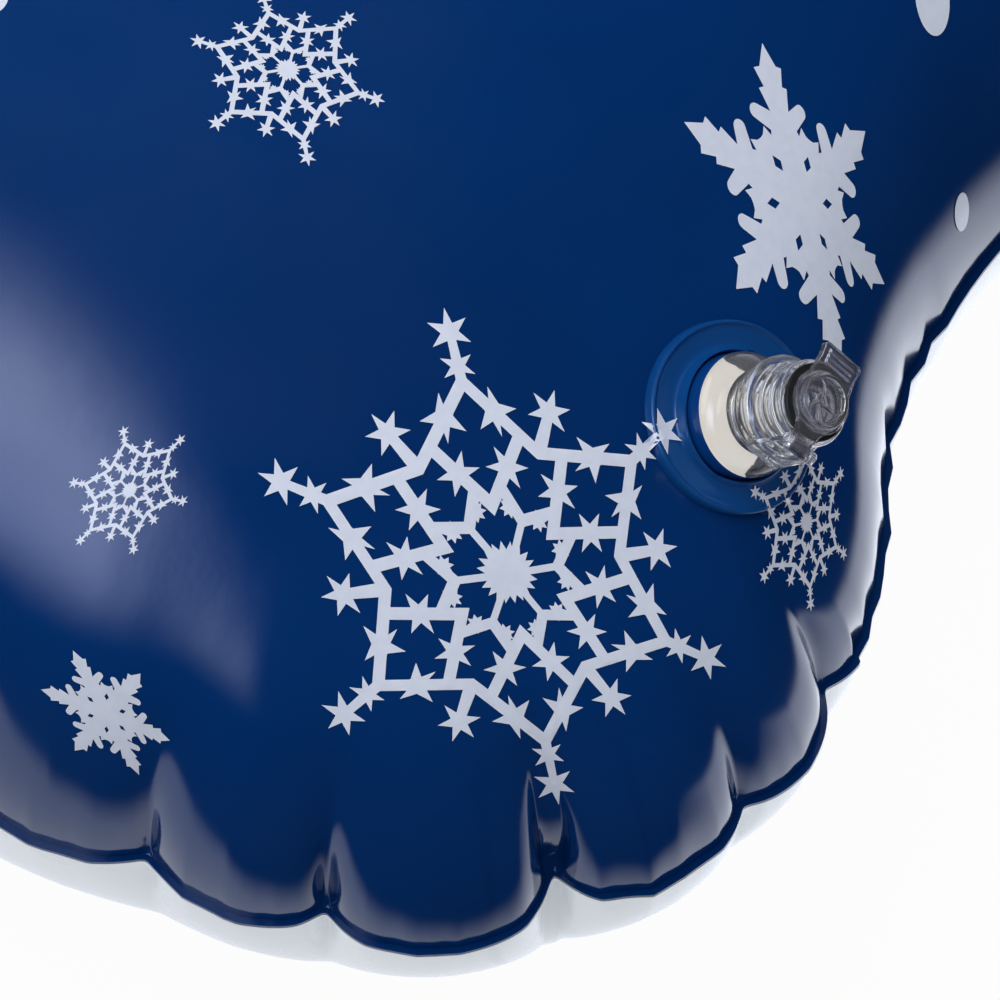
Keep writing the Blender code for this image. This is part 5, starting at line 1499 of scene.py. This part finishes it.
def build_tow_tab():
    """The doubled tab on the nose with its stepped edge, and the rolled metal eyelet."""
    nose = SLED_LENGTH / 2
    level = float(seam_height(np.array([nose]))[0]) + WELD_GAP / 2 + FILM + CLEARANCE
    rear = nose - TAB_LAP_SHARE * FLANGE_WIDTH
    front = rear + TAB_LENGTH
    half = TAB_WIDTH / 2
    corner = (half - TAB_CORNER, front - TAB_CORNER)
    outline = [(half, rear), *arc_points(corner, TAB_CORNER, 0.0, 90.0, 18)]
    outline += [(-x, y) for x, y in reversed(outline)]
    middle = np.array([0.0, (rear + front) / 2])
    shapes = []
    for share, low, high in TAB_LAYERS:
        ring = [tuple(middle + share * (np.array(p) - middle)) for p in outline]
        shapes.append(prism(ring, level + low * TAB_THICKNESS, level + high * TAB_THICKNESS))
    centre = (0.0, front - TAB_CORNER, level)
    barrel = EYELET_BORE_RADIUS + EYELET_WALL
    hole = moved(rod(barrel + CLEARANCE, -TAB_THICKNESS, 2 * TAB_THICKNESS, "Z", 64), *centre)
    shape = fused(shapes, TAB_THICKNESS / 4 / 2, 2, [hole])
    mesh_piece("nose_tab", shape, "tab", "sled", "tab_pvc", "tow_tab", sharp=60.0)

    low, high = -CLEARANCE, TAB_THICKNESS + CLEARANCE
    bore = EYELET_BORE_RADIUS
    wide = bore + EYELET_FLANGE
    thick = EYELET_FLANGE_THICKNESS
    upper = [
        (bore, high), (bore + 0.3 * thick, high + 0.6 * thick), (bore + thick, high + thick),
        ((bore + wide) / 2, high + 0.95 * thick), (wide - thick, high + 0.7 * thick),
        (wide - 0.2 * thick, high + 0.4 * thick), (wide, high + 0.1 * thick),
        (wide - 0.1 * thick, high), (barrel, high),
    ]
    lower = [(r, low + high - z) for r, z in reversed(upper)]
    shape = moved(turned(upper + lower, 96), *centre)
    mesh_piece("nose_eyelet", shape, "eyelet", "sled", "eyelet_metal", "tow_eyelet")


WEB_ROWS = 9
WEB_STATIONS = 80
WEB_WAVE = 0.0012
WEB_WAVE_TURNS = (40.0, 5.0)


def build_webs(trees):
    """The four films that hold the deck down, with the small waves that film in tension keeps."""
    up = Vector((0.0, 0.0, 1.0))
    wide, web = BAFFLE_STRIP / 2, FILM / 2
    stations = np.linspace(-BAFFLE_LENGTH / 2, BAFFLE_LENGTH / 2, WEB_STATIONS)
    for index, x in enumerate(baffle_lines()):
        points = []
        for y in stations:
            start = Vector((x, y, SEAM_HEIGHT))
            high = trees["top_film"].ray_cast(start, up)[0].z - 2 * FILM
            low = trees["bottom_film"].ray_cast(start, -up)[0].z + 2 * FILM
            tall = high - low - 2 * FILM
            right, left = [], []
            for row in range(WEB_ROWS):
                share = row / (WEB_ROWS - 1)
                z = low + FILM + share * tall
                turn = WEB_WAVE_TURNS[0] * y + WEB_WAVE_TURNS[1] * share + index
                wave = WEB_WAVE * math.sin(turn) * math.sin(math.pi * share)
                right.append((web + wave, z))
                left.append((-web + wave, z))
            section = [(-wide, low), (wide, low), (wide, low + FILM), *right]
            section += [(wide, high - FILM), (wide, high), (-wide, high), (-wide, high - FILM)]
            section += [*reversed(left), (-wide, low + FILM)]
            points += [(x + across, y, z) for across, z in section]
        shape = stacked(points, WEB_STATIONS, len(points) // WEB_STATIONS)
        node = f"baffle_{index + 1}"
        mesh_piece(f"web_{index + 1}", shape, "web", "sled", "web_pvc", node, sharp=40.0)


# Printed snowflakes. Those in the photograph have their centre and their six arms as pixels of it:
# the middles of a lattice flake's outer stars, or the tips of a crystal flake.
PRINT_LIFT = 0.00018
CLOSE_PRINT_STEP = 0.0013
PRINT_STEP = 0.0036
PHOTO_LATTICES = (
    ((508, 574), ((449, 332), (280, 482), (344, 714), (554, 783), (705, 658), (662, 432))),
    ((287, 69), ((263, -1), (198, 41), (216, 123), (306.5, 157.5), (375.5, 99), (347.5, 18))),
    ((129, 490), ((123, 431.5), (73.5, 482.5), (80, 540), (133, 549), (182, 501), (179.5, 440))),
    ((806, 522), ((805, 444), (754, 492), (763, 576), (809.5, 603), (842, 553), (839, 473.5))),
)
PHOTO_CRYSTALS = (
    ((803, 202), ((761, 43), (683, 122), (735, 289), (840, 363), (883, 284), (864, 131))),
    ((106, 713), ((72.5, 650), (40.6, 689), (74.3, 750), (138.4, 774), (169.6, 740), (140, 673))),
)
PHOTO_DOTS = (((931, -4), (17, 40), -6.0), ((960.5, 211.5), (7, 19.5), 3.0), ((-6, -4), (14, 18), 20.0))
LARGE, MEDIUM, SMALL, TINY = 0.05, 0.032, 0.0195, 0.0125
LARGE_DOT, SMALL_DOT = 0.0075, 0.0038
SCATTER = (
    (LARGE, 14, "lattice"), (MEDIUM, 14, "crystal"), (SMALL, 22, "lattice"), (SMALL, 12, "crystal"),
    (TINY, 18, "lattice"), (TINY, 20, "crystal"), (LARGE_DOT, 14, "dot"), (SMALL_DOT, 26, "dot"),
)
SCATTER_SEED = 11
SCATTER_GAP = 0.011
SCATTER_TRIES = 900
SCATTER_FROM_SEAM = 0.012
SCATTER_INSIDE_SHARE = 0.7
PHOTO_MARGIN = 60
BAR_STAR_TIPS = (0.0, 38.0, 129.0, 180.0, 216.0, 272.0)
ROW_SHARE = 0.87
MERGED_WITHIN = 0.0004


def polar(radius, degrees):
    turn = math.radians(degrees)
    return np.array([radius * math.cos(turn), radius * math.sin(turn)])


def heading(way):
    return math.degrees(math.atan2(way[1], way[0]))


def unit(way):
    return way / np.linalg.norm(way)


def left_of(way):
    return np.array([-way[1], way[0]])


def star(centre, radius, inner=0.4, points=6, turn=90.0):
    """A star with one point in the direction of an angle."""
    ring = []
    for step in range(2 * points):
        reach = radius * (inner if step % 2 else 1.0)
        ring.append(centre + polar(reach, turn + 180.0 * step / points))
    return ring


def bar_star(centre, radius, way, side, inner=0.4):
    """A star on a bar: two points wide apart on its outer side, two close on its inner one."""
    turn = heading(way)
    ring = []
    tips = BAR_STAR_TIPS
    for tip, following in zip(tips, tips[1:] + (360.0,)):
        ring.append(centre + polar(radius, turn + side * tip))
        ring.append(centre + polar(inner * radius, turn + side * (tip + following) / 2))
    return ring[:: int(side)]


def bar(start, end, width, end_width=None):
    way = unit(end - start)
    side = left_of(way)
    end_width = width if end_width is None else end_width
    start, end = start - 0.35 * width * way, end + 0.35 * end_width * way
    first, last = side * width / 2, side * end_width / 2
    return [start - first, end - last, end + last, start + first]


def bent(start, corner, end, width):
    """A bar with one mitred corner."""
    sides = [left_of(unit(way)) for way in (corner - start, end - corner)]
    mitre = (sides[0] + sides[1]) / (1.0 + sides[0] @ sides[1]) * width / 2
    first, last = sides[0] * width / 2, sides[1] * width / 2
    return [start - first, corner - mitre, end - last, end + last, corner + mitre, start + first]


def lattice_design():
    """A flake of zigzag bars set with small stars, round a many-pointed burst."""
    solids = [star(polar(0.0, 0.0), 0.138, 0.74, 20)]
    for arm in range(6):
        angle = 90.0 + 60.0 * arm
        between = angle + 30.0
        junction, vee = polar(0.795, angle), polar(0.285, angle)
        solids += [star(polar(1.0, angle), 0.101), star(polar(0.86, angle), 0.081)]
        solids.append(bar(junction, polar(0.99, angle), 0.05, 0.037))
        solids.append(bar(polar(0.575, between), polar(0.7, between), 0.062, 0.046))
        solids.append(star(polar(0.73, between), 0.1, 0.4, 6, between))
        solids.append(bar(polar(0.0, 0.0), polar(0.24, between), 0.032))
        node, other = polar(0.545, between), polar(0.795, angle + 60.0)
        solids.append(bent(junction, node, other, 0.052))
        roots = []
        for side in (-30.0, 30.0):
            node, spoke = polar(0.545, angle + side), polar(0.24, angle + side)
            spot = junction + 0.42 * (node - junction)
            solids.append(bar_star(spot, 0.105, junction - node, side / 30.0))
            root = junction + 0.75 * (node - junction)
            roots.append(root)
            way = vee - root
            solids.append(star(root + 0.46 * way, 0.098, 0.4, 6, heading(way)))
            middle = root + 0.72 * way
            half_way = (middle + spoke) / 2
            inwards = polar(0.17, angle) - half_way
            burst = half_way + 0.02 * inwards / np.linalg.norm(inwards)
            solids += [bar(middle, spoke, 0.05), star(burst, 0.047, 0.6, 8)]
        solids.append(bent(roots[0], vee, roots[1], 0.054))
    return solids, []


def oval(centre, along, length, width, count=14):
    """An ellipse whose long axis lies in the direction of an angle."""
    ahead = polar(1.0, along)
    side = left_of(ahead)
    turns = [2 * math.pi * step / count for step in range(count)]
    return [centre + length * math.cos(t) * ahead + width * math.sin(t) * side for t in turns]


def crystal_design():
    """A solid flake: barbed arms, a rounded petal on each side of them, and two small teeth between."""
    petal, reach = (0.575, 0.213), 0.05
    half = [(1.0, 0.0), (0.856, 0.078), (0.848, 0.13), (0.727, 0.087)]
    half += [(0.718, 0.132), (0.571, 0.086)]
    half += arc_points(petal, reach, -27.0, 153.0, 9)
    half += [(0.452, 0.122), (0.42, 0.133), (0.478, 0.18), (0.425, 0.205), (0.404, 0.233)]
    outline, holes = [], []
    for arm in range(6):
        turn = 90.0 + 60.0 * arm
        ahead, side = polar(1.0, turn), polar(1.0, turn + 90.0)
        outline += [along * ahead - across * side for along, across in reversed(half[1:])]
        outline += [along * ahead + across * side for along, across in half]
        out, aside = polar(1.0, turn + 30.0), polar(1.0, turn + 120.0)
        waist, wide = 0.28 * out, 0.034 * aside
        holes.append([0.225 * out, waist + wide, 0.34 * out, waist - wide])
    return [outline], holes


def dot_design():
    return [oval(polar(0.0, 0.0), 0.0, 1.0, 1.0, 40)], []


DESIGNS = {"lattice": lattice_design, "crystal": crystal_design, "dot": dot_design}


def design_mesh(name, step):
    """Points and triangles of a design of radius 1, with no triangle much larger than the step."""
    solids, holes = DESIGNS[name]()
    points, faces = [], []
    for ring in solids + holes:
        area = sum(a[0] * b[1] - b[0] * a[1] for a, b in zip(ring, ring[1:] + ring[:1]))
        ring = ring if area > 0 else ring[::-1]
        faces.append([len(points) + i for i in range(len(ring))])
        points += [Vector(p) for p in ring]
    rows = int(1.0 / (step * ROW_SHARE)) + 1
    for row in range(-rows, rows + 1):
        for column in range(-rows, rows + 1):
            x, y = (column + 0.5 * (row % 2)) * step, row * step * ROW_SHARE
            if x * x + y * y < 1.0:
                points.append(Vector((x, y)))
    found = delaunay_2d_cdt(points, [], faces, 0, MERGED_WITHIN)
    inked = [bool(within) and max(within) < len(solids) for within in found[5]]
    kept = [tuple(face) for face, filled in zip(found[2], inked) if filled]
    used = sorted({i for face in kept for i in face})
    place = {old: new for new, old in enumerate(used)}
    faces = [tuple(place[i] for i in face) for face in kept]
    return np.array([found[0][i][:] for i in used]), faces


def through_pixel(pixel):
    """The direction of sight through a pixel of the photograph."""
    across = float(pixel[0] / PHOTO_PIXELS - 0.5) * VIEW_WIDTH
    up = float(0.5 - pixel[1] / PHOTO_PIXELS) * VIEW_WIDTH
    return (across * VIEW_RIGHT + up * VIEW_UP - VIEW_DISTANCE * VIEW_BACK).normalized()


def pixel_of(point):
    away = Vector(point) - EYE
    deep = -away.dot(VIEW_BACK)
    across = away.dot(VIEW_RIGHT) * VIEW_DISTANCE / deep / VIEW_WIDTH
    up = away.dot(VIEW_UP) * VIEW_DISTANCE / deep / VIEW_WIDTH
    return PHOTO_PIXELS * (0.5 + across), PHOTO_PIXELS * (0.5 - up)


def six_tip_pixels(points, centre, tips):
    """Pixels of a design's points, with its six arms led to their tips, from the top one on."""
    centre, tips = np.array(centre, float), np.array(tips, float)
    arms = np.array([polar(1.0, 90.0 + 60.0 * arm) for arm in range(6)])
    found = []
    for point in points:
        arm = int(((heading(point) - 90.0) % 360.0) // 60.0) % 6
        other = (arm + 1) % 6
        share = np.linalg.solve(np.column_stack([arms[arm], arms[other]]), point)
        found.append(centre + share[0] * (tips[arm] - centre) + share[1] * (tips[other] - centre))
    return found


class Ink:
    """The printed shapes, gathered into one thin layer on the film."""

    def __init__(self, trees):
        self.trees = trees
        self.points, self.faces = [], []
        self.designs = {}

    def design(self, name, radius, step):
        key = (name, round(step / radius, 4))
        if key not in self.designs:
            self.designs[key] = design_mesh(name, step / radius)
        return self.designs[key]

    def lay(self, rays, faces):
        """Drops points along rays on the film or the valve's flange, and keeps the whole faces."""
        hits = []
        for start, way in rays:
            spots = [tree.ray_cast(start, way) for tree in self.trees]
            spots = [spot for spot in spots if spot[0]]
            hit = min(spots, key=lambda spot: spot[3]) if spots else None
            if hit and hit[1].dot(way) > 0:
                hit = (hit[0], -hit[1])
            hits.append(hit[0] + PRINT_LIFT * hit[1] if hit else None)
        names = {}
        for face in faces:
            if all(hits[i] is not None for i in face):
                for i in face:
                    if i not in names:
                        names[i] = len(self.points)
                        self.points.append(tuple(hits[i]))
                self.faces.append(tuple(names[i] for i in face))

    def in_photo(self, name, centre, tips):
        radius = VIEW_WIDTH / PHOTO_PIXELS * max(math.dist(centre, tip) for tip in tips)
        points, faces = self.design(name, radius, CLOSE_PRINT_STEP)
        pixels = six_tip_pixels(points, centre, tips)
        self.lay([(EYE, through_pixel(pixel)) for pixel in pixels], faces)

    def dot_in_photo(self, centre, radii, turn):
        radius = VIEW_WIDTH / PHOTO_PIXELS * max(radii)
        points, faces = self.design("dot", radius, CLOSE_PRINT_STEP)
        cos, sin = math.cos(math.radians(turn)), math.sin(math.radians(turn))
        pixels = []
        for x, y in points:
            across, down = radii[0] * x, -radii[1] * y
            spin = (across * cos - down * sin, across * sin + down * cos)
            pixels.append((centre[0] + spin[0], centre[1] + spin[1]))
        self.lay([(EYE, through_pixel(pixel)) for pixel in pixels], faces)

    def on_film(self, name, x, y, radius, turn):
        place = standing_frame(self.trees[0], x, y, radius / 2) @ Matrix.Rotation(turn, 4, "Z")
        down = -(place.to_3x3() @ Vector((0.0, 0.0, 1.0)))
        points, faces = self.design(name, radius, PRINT_STEP)
        spots = [Vector((radius * float(u), radius * float(v), 2 * radius)) for u, v in points]
        self.lay([(place @ spot, down) for spot in spots], faces)


def scattered():
    """(design, x, y, radius, turn) of the prints that the photograph doesn't show."""
    rng = random.Random(SCATTER_SEED)
    taken = [(VALVE_X, VALVE_Y, VALVE_FLANGE_RADIUS)]
    for side in (-1, 1):
        for end in (-1, 1):
            taken.append((side * HANDLE_X, HANDLE_Y + end * HANDLE_SPAN / 2, PATCH_RADIUS))
    found = []
    for radius, count, name in SCATTER:
        placed_count = 0
        for _ in range(SCATTER_TRIES):
            x = rng.uniform(-BODY_WIDTH / 2, BODY_WIDTH / 2)
            y = rng.uniform(-SLED_LENGTH / 2, SLED_LENGTH / 2)
            turn = rng.uniform(0.0, math.pi / 3)
            depth = PILLOW.nearest(np.array([[x, y]]))[0][0]
            least = SCATTER_INSIDE_SHARE * radius + SCATTER_FROM_SEAM
            if placed_count == count or depth < least:
                continue
            height = float(top_height(np.array([[x, y]]), np.array([depth]))[0])
            across, down = pixel_of((x, y, height))
            margin = PHOTO_MARGIN + PHOTO_PIXELS * radius / VIEW_WIDTH
            if all(-margin < value < PHOTO_PIXELS + margin for value in (across, down)):
                continue
            free = [math.hypot(x - u, y - v) > radius + size + SCATTER_GAP for u, v, size in taken]
            if all(free):
                taken.append((x, y, radius))
                found.append((name, x, y, radius, turn))
                placed_count += 1
    return found


def build_print(trees):
    ink = Ink([trees["top_film"], trees["flange"]])
    for centre, tips in PHOTO_LATTICES:
        ink.in_photo("lattice", centre, tips)
    for centre, tips in PHOTO_CRYSTALS:
        ink.in_photo("crystal", centre, tips)
    for centre, radii, turn in PHOTO_DOTS:
        ink.dot_in_photo(centre, radii, turn)
    for name, x, y, radius, turn in scattered():
        ink.on_film(name, x, y, radius, turn)
    shape = (ink.points, ink.faces)
    mesh_piece("snowflake_print", shape, "white_print", "sled", "white_pvc", sharp=None)


def build_films():
    trees = {}
    for name, node, look, slot, height, side in (
        ("top_film", "top_panel", "navy_film", "navy_pvc", top_height, 1),
        ("bottom_film", "bottom_panel", "white_film", "white_pvc", bottom_height, -1),
    ):
        outer, faces, rim = film_surface(height, side)
        shape = closed_film(outer, faces, side, rim)
        film = mesh_piece(name, shape, look, "sled", slot, node, sharp=75.0)
        trees[name] = BVHTree.FromPolygons([Vector(p) for p in outer], faces)
    return trees


def main():
    build_stage()
    finishes()
    panel = frame["nodes"]["top_panel"].data
    faces = [tuple(p.vertices) for p in panel.polygons]
    cad_tree = BVHTree.FromPolygons([v.co for v in panel.vertices], faces)
    trees = build_films()
    build_valve(trees)
    build_handles(trees, cad_tree)
    build_tow_tab()
    build_webs(trees)
    build_print(trees)


main()
